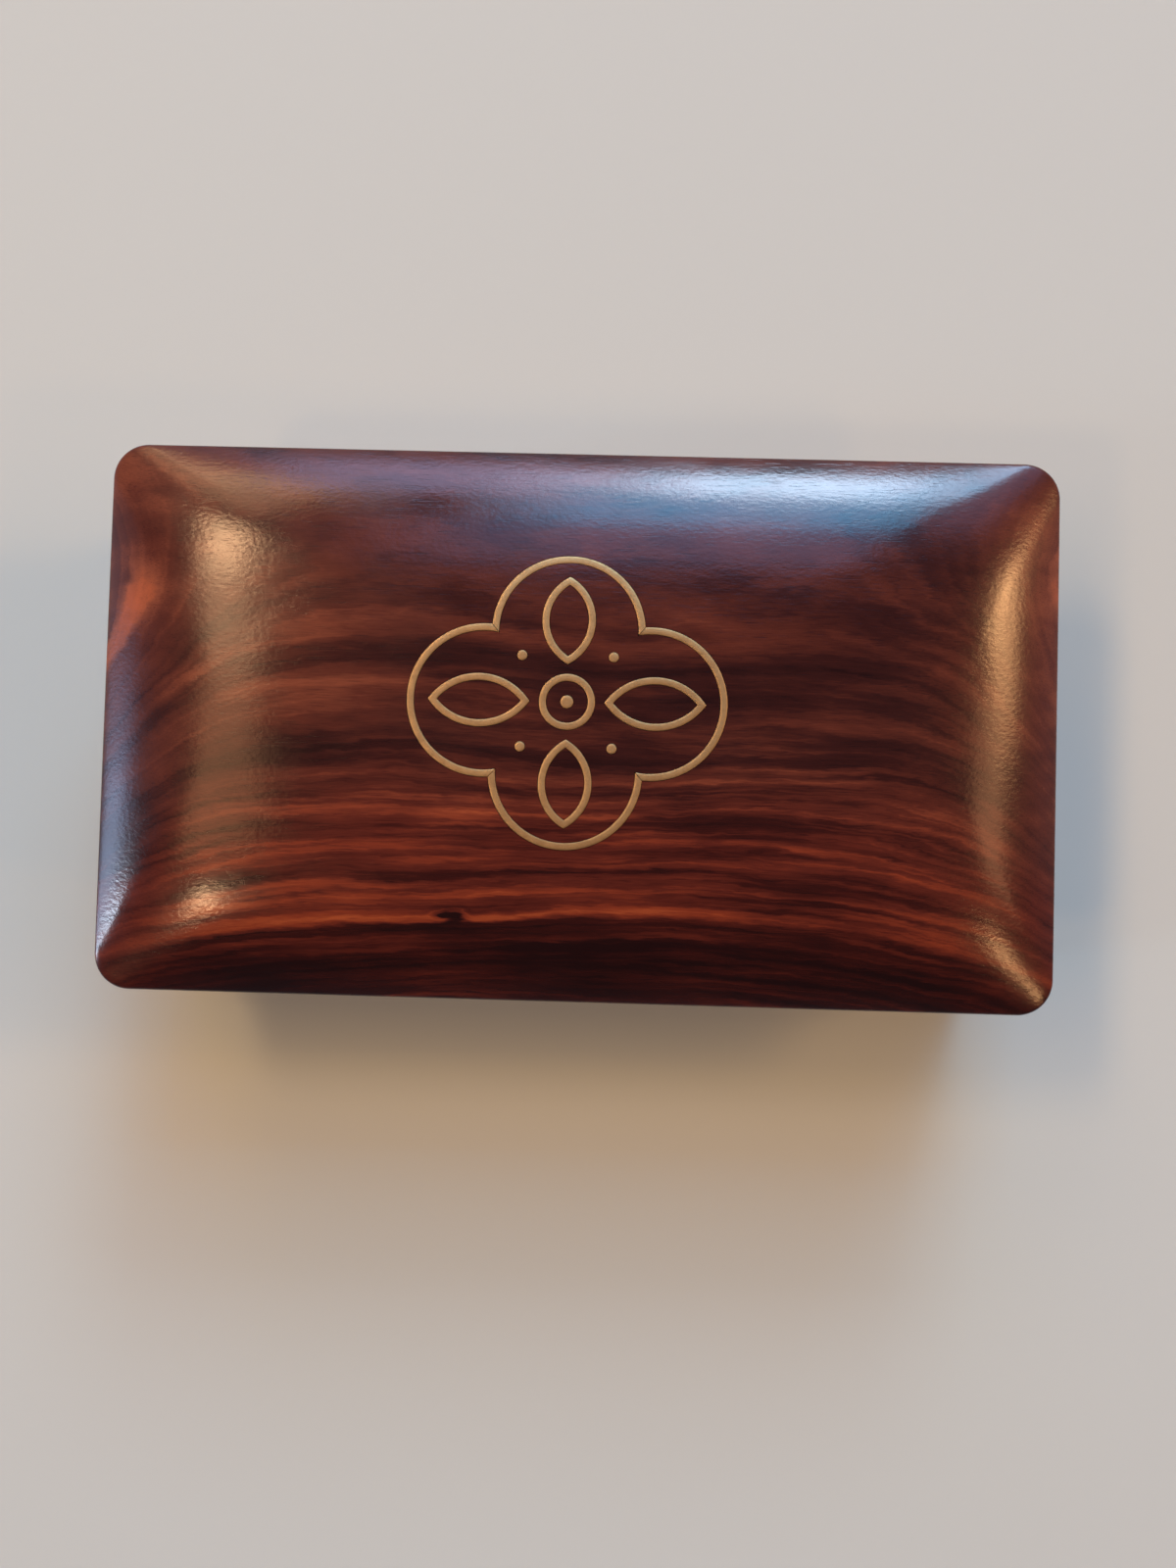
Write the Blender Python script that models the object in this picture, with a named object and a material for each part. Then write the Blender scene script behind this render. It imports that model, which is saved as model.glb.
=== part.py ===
"""A rosewood box with a carved pillow lid on two butt hinges, and a brass medallion let into the lid.

Metres. +X runs along the box, +Y towards the hinges, +Z up. The origin is under the middle of the
box, on the surface that it stands on.
"""

import math

import bmesh
import bpy
from mathutils import Vector

# Clearances
PART_GAP = 0.0003
INLAY_CLEARANCE = 0.00012
SCREW_CLEARANCE = 0.00015
PIN_CLEARANCE = 0.00008
CUT_OVERRUN = 0.003

# Lid
LID_LENGTH = 0.203
LID_WIDTH = 0.117
LID_CORNER_RADIUS = 0.0075
LID_CROWN = 0.011
LID_EDGE_DEPTH = 0.004
LID_EDGE_ROUND = 0.002
LID_TOP_ROUND = 0.001
LID_OVERHANG = 0.005
LID_RECESS_DEPTH = 0.0075
LID_RECESS_MARGIN = 0.002
LID_RECESS_CORNER_RADIUS = 0.006
LID_RECESS_FILLET = 0.004
SHOULDER_POWER = 3.5
HIP_SOFTNESS = 0.7
RING_SHARE = 0.5
ROUND_END_SHARE = 0.94

# Walls and floor
WALL_HEIGHT = 0.036
WALL_THICKNESS = 0.009
WALL_CORNER_RADIUS = 0.005
WALL_FOOT_ROUND = 0.002
WALL_RIM_ROUND = 0.0006
BOTTOM_THICKNESS = 0.005
BOTTOM_RAISE = 0.003
BOTTOM_TONGUE = 0.004
SPLINE_THICKNESS = 0.0025
SPLINE_WIDTH = 0.008
SPLINE_FLOOR_MARGIN = 0.004

# Hinges
HINGE_END_MARGIN = 0.0218
HINGE_LENGTH = 0.0254
HINGE_AXIS_OUT = 0.0005
BARREL_RADIUS = 0.002
PIN_RADIUS = 0.0011
LEAF_THICKNESS = 0.001
LEAF_INNER_MARGIN = 0.0017
LEAF_CORNER_RADIUS = 0.0008
SCREW_END_MARGIN = 0.0049
SCREW_LENGTH = 0.0065
SCREW_HEAD_RADIUS = 0.0017
SCREW_SHANK_RADIUS = 0.0009
SCREW_POINT_RADIUS = 0.0002
SCREW_POINT_LENGTH = 0.002
SCREW_SLOT_WIDTH = 0.0005
SCREW_SLOT_DEPTH = 0.0004

# Inlay
INLAY_X = -0.002
INLAY_Y = 0.004
WIRE_WIDTH = 0.0014
WIRE_DEPTH = 0.0018
WIRE_PROUD = 0.00008
LOBE_OUT_X = 0.017
LOBE_OUT_Y = 0.0145
LOBE_LAP = 0.0038
RING_RADIUS = 0.005
PETAL_WIDTH = 0.0095
PETAL_RING_MARGIN = 0.0035
PETAL_LOBE_MARGIN = 0.0045
CENTRE_PIN_RADIUS = 0.0013
SMALL_PIN_RADIUS = 0.001
SMALL_PIN_RING_MARGIN = 0.0082

# Counts of steps along curves
CORNER_STEPS = 8
LONG_SIDE_STEPS = 10
SHORT_SIDE_STEPS = 8
CROWN_STEPS = 16
EDGE_STEPS = 4
TOP_ROUND_STEPS = 3
ROUND_STEPS = 3
LOBE_STEPS = 16
PETAL_STEPS = 10
RING_STEPS = 28
INLAY_PIN_STEPS = 14
BARREL_STEPS = 24
SCREW_STEPS = 16
CROWN_STEP_POWER = 1.25
SMOOTH_ANGLE = math.radians(35)
CROWN_FILL_SHARE = 0.9

# Derived from the sizes above
HALF_LENGTH = LID_LENGTH / 2
HALF_WIDTH = LID_WIDTH / 2
LID_BOTTOM = WALL_HEIGHT + PART_GAP
LID_RIM = LID_BOTTOM + LID_EDGE_DEPTH
BODY_HALF_LENGTH = HALF_LENGTH - LID_OVERHANG
BODY_HALF_WIDTH = HALF_WIDTH - LID_OVERHANG
INNER_HALF_LENGTH = BODY_HALF_LENGTH - WALL_THICKNESS
INNER_HALF_WIDTH = BODY_HALF_WIDTH - WALL_THICKNESS
AXIS_Y = BODY_HALF_WIDTH + HINGE_AXIS_OUT
AXIS_Z = WALL_HEIGHT + PART_GAP / 2
LEAF_INNER_Y = BODY_HALF_WIDTH - WALL_THICKNESS + LEAF_INNER_MARGIN
SCREW_Y = BODY_HALF_WIDTH - WALL_THICKNESS / 2
SPLINE_BOTTOM = BOTTOM_RAISE + BOTTOM_THICKNESS + SPLINE_FLOOR_MARGIN
LOBE_RADIUS = math.hypot(LOBE_OUT_X, LOBE_OUT_Y) / 2 + LOBE_LAP
HINGE_OUT = BODY_HALF_LENGTH - HINGE_END_MARGIN - HINGE_LENGTH / 2
HINGE_PLACES = {"left": -HINGE_OUT, "right": HINGE_OUT}
LOBE_CENTRES = ((LOBE_OUT_X, 0), (0, LOBE_OUT_Y), (-LOBE_OUT_X, 0), (0, -LOBE_OUT_Y))
SIDES = {"left": -1, "right": 1}
DEPTHS = {"front": -1, "back": 1}


def clear_scene():
    for thing in list(bpy.data.objects):
        bpy.data.objects.remove(thing, do_unlink=True)


def make_material(name, colour, roughness, metallic):
    material = bpy.data.materials.new(name)
    material.use_nodes = True
    shader = material.node_tree.nodes["Principled BSDF"]
    shader.inputs["Base Color"].default_value = (*colour, 1)
    shader.inputs["Roughness"].default_value = roughness
    shader.inputs["Metallic"].default_value = metallic
    material.diffuse_color = (*colour, 1)
    return material


def add_loft(mesh, rings):
    """A closed solid through rings of equal point counts, with a flat cap on each end."""
    rows = [[mesh.verts.new(point) for point in ring] for ring in rings]
    count = len(rows[0])
    for low, high in zip(rows, rows[1:]):
        for i in range(count):
            j = (i + 1) % count
            mesh.faces.new((low[i], low[j], high[j], high[i]))
    mesh.faces.new(list(reversed(rows[0])))
    mesh.faces.new(rows[-1])


def add_band(mesh, lefts, rights, tops, bottoms, closed):
    """A strip of rectangular section between two lines of plan points."""
    columns = []
    for side, heights in ((lefts, tops), (rights, tops), (rights, bottoms), (lefts, bottoms)):
        columns.append([mesh.verts.new((x, y, z)) for (x, y), z in zip(side, heights)])
    count = len(lefts)
    for column, following in zip(columns, columns[1:] + columns[:1]):
        for i in range(count if closed else count - 1):
            j = (i + 1) % count
            mesh.faces.new((column[i], column[j], following[j], following[i]))
    if not closed:
        mesh.faces.new([column[0] for column in columns])
        mesh.faces.new([column[-1] for column in reversed(columns)])


def add_prism_z(mesh, outline, low, high):
    add_loft(mesh, [[(x, y, z) for x, y in outline] for z in (low, high)])


def add_prism_x(mesh, outline, low, high):
    add_loft(mesh, [[(x, y, z) for y, z in outline] for x in (low, high)])


def add_cylinder_x(mesh, y, z, radius, low, high):
    outline = [(y + radius * c, z + radius * s) for c, s in unit_circle(BARREL_STEPS)]
    add_prism_x(mesh, outline, low, high)


def unit_circle(steps):
    turns = [math.tau * i / steps for i in range(steps)]
    return [(math.cos(turn), math.sin(turn)) for turn in turns]


def rectangle(low_x, low_y, high_x, high_y):
    return [(low_x, low_y), (high_x, low_y), (high_x, high_y), (low_x, high_y)]


def rounded_rectangle(half_x, half_y, radius, steps):
    points = []
    for quarter, (side_x, side_y) in enumerate(((1, 1), (-1, 1), (-1, -1), (1, -1))):
        centre_x = side_x * (half_x - radius)
        centre_y = side_y * (half_y - radius)
        for i in range(steps + 1):
            turn = math.pi / 2 * (quarter + i / steps)
            points.append((centre_x + radius * math.cos(turn), centre_y + radius * math.sin(turn)))
    return points


def solid_object(name, mesh, material=None):
    """The finished mesh as an object. One without a material is a cutter or a guide."""
    bmesh.ops.recalc_face_normals(mesh, faces=mesh.faces)
    data = bpy.data.meshes.new(name)
    mesh.to_mesh(data)
    mesh.free()
    thing = bpy.data.objects.new(name, data)
    bpy.context.scene.collection.objects.link(thing)
    if material:
        data.materials.append(material)
        data.shade_smooth()
        data.set_sharp_from_angle(angle=SMOOTH_ANGLE)
    else:
        thing.hide_render = True
        thing.display_type = "WIRE"
    return thing


def apply_boolean(thing, operation, *others):
    for other in others:
        modifier = thing.modifiers.new(f"{operation.lower()} {other.name}", "BOOLEAN")
        modifier.operation = operation
        modifier.solver = "EXACT"
        modifier.object = other


def rise_share(inset):
    """Share of the crown's height reached at this distance in from one pair of edges."""
    outward_share = 1 - min(max(inset / HALF_WIDTH, 0), 1)
    return 1 - outward_share**SHOULDER_POWER


def rise_rate(inset):
    """How fast that share grows with the distance."""
    outward_share = 1 - min(max(inset / HALF_WIDTH, 0), 1)
    return SHOULDER_POWER / HALF_WIDTH * outward_share ** (SHOULDER_POWER - 1)


def crown_height(x, y, inset):
    """Height of the lid's top above its rim at a point of the ring that lies this far in. It is
    part the ring's own rise, and part the rises from the ends and from the sides multiplied, which
    keeps the hips at the corners soft."""
    spread_share = rise_share(HALF_LENGTH - abs(x)) * rise_share(HALF_WIDTH - abs(y))
    return LID_CROWN * (RING_SHARE * rise_share(inset) + (1 - RING_SHARE) * spread_share)


def rim_slope(x, y, spacing):
    """Steepness of the crown by the rim, where the rings lie this many times their insets apart."""
    inset_x, inset_y = HALF_LENGTH - abs(x), HALF_WIDTH - abs(y)
    rate_x = rise_rate(inset_x) * rise_share(inset_y)
    rate_y = rise_share(inset_x) * rise_rate(inset_y)
    spread_rate = math.hypot(rate_x, rate_y)
    rate = RING_SHARE * rise_rate(0) / spacing + (1 - RING_SHARE) * spread_rate
    return math.atan(LID_CROWN * rate)


def lid_top(y):
    """The lid's top over its middle, where its section is the same all along."""
    return LID_RIM + crown_height(0, y, HALF_WIDTH - abs(y))


def lid_outline(inset, radius):
    """Plan points round the lid, this far in from its rim. Those along the sides are closer together
    towards the corners, where the crown bends most."""
    corners = rounded_rectangle(HALF_LENGTH - inset, HALF_WIDTH - inset, radius, CORNER_STEPS)
    points = []
    for quarter, steps in enumerate((LONG_SIDE_STEPS, SHORT_SIDE_STEPS) * 2):
        following = (quarter + 1) * (CORNER_STEPS + 1)
        points += corners[quarter * (CORNER_STEPS + 1):following]
        start, end = Vector(points[-1]), Vector(corners[following % len(corners)])
        for i in range(1, steps):
            points.append(tuple(start.lerp(end, (1 - math.cos(math.pi * i / steps)) / 2)))
    return points


def crown_ring(inset):
    """Points of the lid's top along a rounded rectangle, whose corners widen towards the middle."""
    radius = min(LID_CORNER_RADIUS + HIP_SOFTNESS * inset, ROUND_END_SHARE * (HALF_WIDTH - inset))
    return [(x, y, LID_RIM + crown_height(x, y, inset)) for x, y in lid_outline(inset, radius)]


def rim_column(start, end):
    """The rim's rounding at one place, from its widest point in to where it meets the crown's slope.
    start is the widest point in plan, and end lies the rounding's radius further in."""
    outward = (start - end).normalized()
    spacing = (1 + HIP_SOFTNESS) * (abs(outward.x) + abs(outward.y)) - HIP_SOFTNESS
    top_turn = math.pi / 2 - rim_slope(*end, spacing)
    meet = start.lerp(end, 1 - math.cos(top_turn))
    meet_z = LID_RIM + crown_height(*meet, (meet - start).length / spacing)
    widest_z = meet_z - LID_TOP_ROUND * math.sin(top_turn)
    points = []
    for i in range(TOP_ROUND_STEPS + 1):
        turn = top_turn * i / TOP_ROUND_STEPS
        x, y = start.lerp(end, 1 - math.cos(turn))
        points.append((x, y, widest_z + LID_TOP_ROUND * math.sin(turn)))
    return points


def lid_rings():
    """Rings from the flat underside, round the edge, round the rim and over the crown."""
    rim = lid_outline(0, LID_CORNER_RADIUS)
    inner = lid_outline(LID_TOP_ROUND, LID_CORNER_RADIUS - LID_TOP_ROUND)
    columns = [rim_column(Vector(start), Vector(end)) for start, end in zip(rim, inner)]
    rings = []
    for i in range(EDGE_STEPS):
        turn = math.pi / 2 * i / EDGE_STEPS
        inset = LID_EDGE_ROUND * (1 - math.sin(turn))
        outline = lid_outline(inset, LID_CORNER_RADIUS - inset)
        ring = []
        for (x, y), column in zip(outline, columns):
            widest_z = column[0][-1]
            ring.append((x, y, widest_z - (widest_z - LID_BOTTOM) * math.cos(turn)))
        rings.append(ring)
    rings += [list(ring) for ring in zip(*columns)]
    reach = HALF_WIDTH * CROWN_FILL_SHARE - LID_TOP_ROUND
    for i in range(1, CROWN_STEPS + 1):
        rings.append(crown_ring(LID_TOP_ROUND + reach * (i / CROWN_STEPS) ** CROWN_STEP_POWER))
    return rings


def recess_rings():
    """Rings of the hollow under the lid, from below its mouth up to its filleted ceiling."""
    half_x = INNER_HALF_LENGTH - LID_RECESS_MARGIN
    half_y = INNER_HALF_WIDTH - LID_RECESS_MARGIN
    mouth = rounded_rectangle(half_x, half_y, LID_RECESS_CORNER_RADIUS, CORNER_STEPS)
    rings = [[(x, y, LID_BOTTOM - CUT_OVERRUN) for x, y in mouth]]
    fillet_z = LID_BOTTOM + LID_RECESS_DEPTH - LID_RECESS_FILLET
    for i in range(ROUND_STEPS + 1):
        turn = math.pi / 2 * i / ROUND_STEPS
        inset = LID_RECESS_FILLET * (1 - math.cos(turn))
        radius = LID_RECESS_CORNER_RADIUS - inset
        outline = rounded_rectangle(half_x - inset, half_y - inset, radius, CORNER_STEPS)
        z = fillet_z + LID_RECESS_FILLET * math.sin(turn)
        rings.append([(x, y, z) for x, y in outline])
    return rings


def make_lid(material, cutters):
    mesh = bmesh.new()
    add_loft(mesh, lid_rings())
    lid = solid_object("lid", mesh, material)
    mesh = bmesh.new()
    add_loft(mesh, recess_rings())
    recess = solid_object("cut_lid_recess", mesh)
    apply_boolean(lid, "DIFFERENCE", recess, *cutters)
    return lid


def wall_outline(half_run, out, inset):
    """Plan of the wall on the -Y side, mitred at both ends, its outer face drawn in by inset."""
    radius = WALL_CORNER_RADIUS - inset
    centre_x = half_run - WALL_CORNER_RADIUS
    centre_y = WALL_CORNER_RADIUS - out
    mitre_turn = math.pi / 4 - math.asin(PART_GAP / 2 / radius)
    corner = []
    for i in range(CORNER_STEPS // 2 + 1):
        turn = mitre_turn * i / (CORNER_STEPS // 2)
        corner.append((centre_x + radius * math.sin(turn), centre_y - radius * math.cos(turn)))
    inner_x = half_run - WALL_THICKNESS - PART_GAP / math.sqrt(2)
    inner = (inner_x, WALL_THICKNESS - out)
    right = corner + [inner]
    left = [(-x, y) for x, y in reversed(right)]
    return left + right


def make_wall(name, half_run, out, turn, material, cutters):
    levels = []
    for i in range(ROUND_STEPS + 1):
        bend = math.pi / 2 * i / ROUND_STEPS
        z = WALL_FOOT_ROUND * (1 - math.cos(bend))
        levels.append((z, WALL_FOOT_ROUND * (1 - math.sin(bend))))
    for i in range(ROUND_STEPS + 1):
        bend = math.pi / 2 * i / ROUND_STEPS
        z = WALL_HEIGHT - WALL_RIM_ROUND * (1 - math.sin(bend))
        levels.append((z, WALL_RIM_ROUND * (1 - math.cos(bend))))
    mesh = bmesh.new()
    add_loft(mesh, [[(x, y, z) for x, y in wall_outline(half_run, out, e)] for z, e in levels])
    wall = solid_object(name, mesh, material)
    wall.rotation_euler.z = turn
    apply_boolean(wall, "DIFFERENCE", *cutters)
    return wall


def make_bottom_panel(material):
    mesh = bmesh.new()
    half_x = INNER_HALF_LENGTH + BOTTOM_TONGUE
    half_y = INNER_HALF_WIDTH + BOTTOM_TONGUE
    outline = rectangle(-half_x, -half_y, half_x, half_y)
    add_prism_z(mesh, outline, BOTTOM_RAISE, BOTTOM_RAISE + BOTTOM_THICKNESS)
    return solid_object("bottom_panel", mesh, material)


def make_bottom_groove():
    mesh = bmesh.new()
    half_x = INNER_HALF_LENGTH + BOTTOM_TONGUE + PART_GAP
    half_y = INNER_HALF_WIDTH + BOTTOM_TONGUE + PART_GAP
    outline = rectangle(-half_x, -half_y, half_x, half_y)
    top = BOTTOM_RAISE + BOTTOM_THICKNESS + PART_GAP
    add_prism_z(mesh, outline, BOTTOM_RAISE - PART_GAP, top)
    return solid_object("cut_bottom_groove", mesh)


def add_spline(mesh, side_x, side_y, grow, top):
    """A tongue across one mitre: its width runs square to the mitre, its thickness along it."""
    along = Vector((side_x, side_y)) / math.sqrt(2)
    across = Vector((side_x, -side_y)) / math.sqrt(2)
    inner = Vector((side_x * INNER_HALF_LENGTH, side_y * INNER_HALF_WIDTH))
    middle = inner + along * WALL_THICKNESS / 2
    half_width = SPLINE_WIDTH / 2 + grow
    half_thickness = SPLINE_THICKNESS / 2 + grow
    outline = []
    for u, v in ((-1, -1), (1, -1), (1, 1), (-1, 1)):
        outline.append(middle + across * half_width * u + along * half_thickness * v)
    add_prism_z(mesh, outline, SPLINE_BOTTOM - grow, top)


def make_splines(material):
    for depth, side_y in DEPTHS.items():
        for side, side_x in SIDES.items():
            mesh = bmesh.new()
            add_spline(mesh, side_x, side_y, 0, WALL_HEIGHT)
            solid_object(f"spline_{depth}_{side}", mesh, material)


def make_spline_slots():
    mesh = bmesh.new()
    for side_x in SIDES.values():
        for side_y in DEPTHS.values():
            add_spline(mesh, side_x, side_y, PART_GAP, WALL_HEIGHT + CUT_OVERRUN)
    return solid_object("cut_spline_slots", mesh)


def mortise_outline(up):
    """Section, in Y and Z, of the seat of a leaf and its barrel in the wall (up -1) or lid (up 1)."""
    face = LID_BOTTOM if up > 0 else WALL_HEIGHT
    outside = HALF_WIDTH + CUT_OVERRUN
    leaf_in = LEAF_INNER_Y - PART_GAP
    barrel_in = AXIS_Y - BARREL_RADIUS - PART_GAP
    leaf_z = face + up * (LEAF_THICKNESS + PART_GAP)
    barrel_z = AXIS_Z + up * (BARREL_RADIUS + PART_GAP)
    mouth_z = face - up * CUT_OVERRUN
    return [
        (leaf_in, mouth_z),
        (leaf_in, leaf_z),
        (barrel_in, leaf_z),
        (barrel_in, barrel_z),
        (outside, barrel_z),
        (outside, mouth_z),
    ]


def make_mortises(name, up):
    mesh = bmesh.new()
    reach = HINGE_LENGTH / 2 + PART_GAP
    for x in HINGE_PLACES.values():
        add_prism_x(mesh, mortise_outline(up), x - reach, x + reach)
    return solid_object(name, mesh)


def add_screw(mesh, x, up, grow):
    """A countersunk screw whose point goes up (up 1) or down. grow makes the hole that it passes."""
    face = LID_BOTTOM if up > 0 else WALL_HEIGHT
    head = SCREW_HEAD_RADIUS + grow
    shank = SCREW_SHANK_RADIUS + grow
    sections = [(head, 0), (shank, head - shank), (shank, SCREW_LENGTH - SCREW_POINT_LENGTH)]
    sections.append((SCREW_POINT_RADIUS + grow, SCREW_LENGTH + grow))
    if grow:
        sections.insert(0, (head, -CUT_OVERRUN))
    rings = []
    for radius, depth in sections:
        circle = unit_circle(SCREW_STEPS)
        z = face + up * depth
        rings.append([(x + radius * c, SCREW_Y + radius * s, z) for c, s in circle])
    add_loft(mesh, rings)


def screw_places():
    """Each screw's name, after its hinge and its side of it, and its X."""
    reach = HINGE_LENGTH / 2 - SCREW_END_MARGIN
    for hinge, x in HINGE_PLACES.items():
        for side, sign in SIDES.items():
            yield f"{hinge}_{side}", x + sign * reach


def make_screw_holes(name, up):
    mesh = bmesh.new()
    for _, x in screw_places():
        add_screw(mesh, x, up, SCREW_CLEARANCE)
    return solid_object(name, mesh)


def make_screw_slots(up):
    mesh = bmesh.new()
    face = LID_BOTTOM if up > 0 else WALL_HEIGHT
    reach = SCREW_HEAD_RADIUS + CUT_OVERRUN
    half = SCREW_SLOT_WIDTH / 2
    ends = sorted((face - up * CUT_OVERRUN, face + up * SCREW_SLOT_DEPTH))
    for _, x in screw_places():
        add_prism_z(mesh, rectangle(x - half, SCREW_Y - reach, x + half, SCREW_Y + reach), *ends)
    return solid_object(f"cut_screw_slots_{'lid' if up > 0 else 'body'}", mesh)


def make_screws(owner, up, material, lid_axis):
    slots = make_screw_slots(up)
    for place, x in screw_places():
        mesh = bmesh.new()
        add_screw(mesh, x, up, 0)
        screw = solid_object(f"screw_{owner}_{place}", mesh, material)
        apply_boolean(screw, "DIFFERENCE", slots)
        if up > 0:
            hang_on_lid(screw, lid_axis)


def knuckle_spans(owner):
    """X spans, from the hinge's middle, of the barrel lengths that this leaf carries."""
    end = HINGE_LENGTH / 2
    lid_end = end / 3 - PART_GAP / 2
    body_start = lid_end + PART_GAP
    return [(-lid_end, lid_end)] if owner == "lid" else [(-end, -body_start), (body_start, end)]


def leaf_outline(x, owner):
    """Plan of a leaf: a plate with rounded inner corners, cut back round the other leaf's knuckles."""
    half = HINGE_LENGTH / 2
    shy = AXIS_Y - BARREL_RADIUS - PART_GAP
    span = knuckle_spans(owner)[-1]
    if owner == "lid":
        steps = [(half, shy), (span[1], shy), (span[1], AXIS_Y)]
    else:
        steps = [(half, AXIS_Y), (span[0], AXIS_Y), (span[0], shy)]
    corner = []
    for i in range(ROUND_STEPS + 1):
        turn = math.pi / 2 * i / ROUND_STEPS
        corner_x = half - LEAF_CORNER_RADIUS * (1 - math.sin(turn))
        corner.append((corner_x, LEAF_INNER_Y + LEAF_CORNER_RADIUS * (1 - math.cos(turn))))
    right = corner + steps
    left = [(-point_x, y) for point_x, y in reversed(right)]
    return [(x + point_x, y) for point_x, y in right + left]


def make_leaf(owner, hinge, x, up, material, holes, bores):
    face = LID_BOTTOM if up > 0 else WALL_HEIGHT
    ends = sorted((face, face + up * LEAF_THICKNESS))
    mesh = bmesh.new()
    add_prism_z(mesh, leaf_outline(x, owner), *ends)
    leaf = solid_object(f"hinge_{hinge}_{owner}_leaf", mesh, material)
    mesh = bmesh.new()
    for low, high in knuckle_spans(owner):
        add_cylinder_x(mesh, AXIS_Y, AXIS_Z, BARREL_RADIUS, x + low, x + high)
    knuckles = solid_object(f"join_{hinge}_{owner}_knuckles", mesh)
    apply_boolean(leaf, "UNION", knuckles)
    apply_boolean(leaf, "DIFFERENCE", bores, holes)
    return leaf


def make_bores():
    mesh = bmesh.new()
    reach = HINGE_LENGTH / 2 + CUT_OVERRUN
    for x in HINGE_PLACES.values():
        add_cylinder_x(mesh, AXIS_Y, AXIS_Z, PIN_RADIUS + PIN_CLEARANCE, x - reach, x + reach)
    return solid_object("cut_pin_bores", mesh)


def make_pins(material):
    for hinge, x in HINGE_PLACES.items():
        mesh = bmesh.new()
        add_cylinder_x(mesh, AXIS_Y, AXIS_Z, PIN_RADIUS, x - HINGE_LENGTH / 2, x + HINGE_LENGTH / 2)
        solid_object(f"hinge_{hinge}_pin", mesh, material)


def lobe_line(index, radius, end_gap):
    """One lobe's arc of this radius, ending short of the lines where it meets its neighbours."""
    centre = Vector(LOBE_CENTRES[index])
    outward = math.atan2(centre.y, centre.x)
    ends = []
    for step in (-1, 1):
        apart = centre - Vector(LOBE_CENTRES[(index + step) % len(LOBE_CENTRES)])
        turn = math.atan2(apart.y, apart.x)
        turn += step * math.acos((end_gap - apart.length / 2) / radius)
        ends.append(outward + math.remainder(turn - outward, math.tau))
    turns = [ends[0] + (ends[1] - ends[0]) * i / LOBE_STEPS for i in range(LOBE_STEPS + 1)]
    return [(centre.x + radius * math.cos(t), centre.y + radius * math.sin(t)) for t in turns]


def lobe_lines(half_width, index, end_gap):
    outer = lobe_line(index, LOBE_RADIUS + half_width, end_gap)
    inner = lobe_line(index, LOBE_RADIUS - half_width, end_gap)
    return outer, inner


def quatrefoil_lines(half_width):
    """The four lobes as one closed line, for the groove that holds them."""
    outer, inner = [], []
    for index in range(len(LOBE_CENTRES)):
        lobe_outer, lobe_inner = lobe_lines(half_width, index, 0)
        outer += lobe_outer[:-1]
        inner += lobe_inner[:-1]
    return outer, inner


def petal_line(index, offset):
    """A closed petal of two arcs, pointing at its lobe, its line moved outwards by offset."""
    near = RING_RADIUS + PETAL_RING_MARGIN
    far = math.hypot(*LOBE_CENTRES[index]) + LOBE_RADIUS - PETAL_LOBE_MARGIN
    half_length = (far - near) / 2
    half_width = PETAL_WIDTH / 2
    radius = (half_length**2 + half_width**2) / (2 * half_width)
    back = radius - half_width
    reach = math.acos(back / (radius + offset))
    turn = math.pi / 2 * index
    points = []
    for side in (1, -1):
        for i in range(PETAL_STEPS):
            bend = reach * (1 - 2 * i / PETAL_STEPS)
            along = (near + far) / 2 + side * (radius + offset) * math.sin(bend)
            across = side * ((radius + offset) * math.cos(bend) - back)
            x = along * math.cos(turn) - across * math.sin(turn)
            y = along * math.sin(turn) + across * math.cos(turn)
            points.append((x, y))
    return points


def petal_lines(half_width, index):
    return petal_line(index, half_width), petal_line(index, -half_width)


def ring_lines(half_width):
    circle = unit_circle(RING_STEPS)
    radii = (RING_RADIUS + half_width, RING_RADIUS - half_width)
    return tuple([(radius * c, radius * s) for c, s in circle] for radius in radii)


def inlay_pin_places():
    """Each inlaid pin's name, radius and place from the medallion's middle."""
    yield "centre", CENTRE_PIN_RADIUS, Vector((0, 0))
    out = (RING_RADIUS + SMALL_PIN_RING_MARGIN) / math.sqrt(2)
    for depth, side_y in DEPTHS.items():
        for side, side_x in SIDES.items():
            yield f"{depth}_{side}", SMALL_PIN_RADIUS, Vector((side_x, side_y)) * out


def placed(line):
    return [(x + INLAY_X, y + INLAY_Y) for x, y in line]


def inlay_heights(y, grow):
    """Bottom and top of a wire over this Y, or with grow of the groove that holds it."""
    above = CUT_OVERRUN if grow else WIRE_PROUD
    return lid_top(y) - WIRE_DEPTH - grow, lid_top(y) + above


def add_inlay_band(mesh, lines, closed, grow):
    outer, inner = (placed(line) for line in lines)
    heights = [inlay_heights((a[1] + b[1]) / 2, grow) for a, b in zip(outer, inner)]
    bottoms, tops = zip(*heights)
    add_band(mesh, outer, inner, tops, bottoms, closed)


def add_inlay_pin(mesh, radius, place, grow):
    circle = unit_circle(INLAY_PIN_STEPS)
    reach = radius + grow
    points = placed([(place.x + reach * c, place.y + reach * s) for c, s in circle])
    add_loft(mesh, [[(x, y, inlay_heights(y, grow)[end]) for x, y in points] for end in (0, 1)])


def make_inlay_grooves():
    grow = INLAY_CLEARANCE
    half_width = WIRE_WIDTH / 2 + grow
    mesh = bmesh.new()
    add_inlay_band(mesh, quatrefoil_lines(half_width), True, grow)
    add_inlay_band(mesh, ring_lines(half_width), True, grow)
    for index in range(len(LOBE_CENTRES)):
        add_inlay_band(mesh, petal_lines(half_width, index), True, grow)
    for _, radius, place in inlay_pin_places():
        add_inlay_pin(mesh, radius, place, grow)
    return solid_object("cut_inlay_grooves", mesh)


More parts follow.
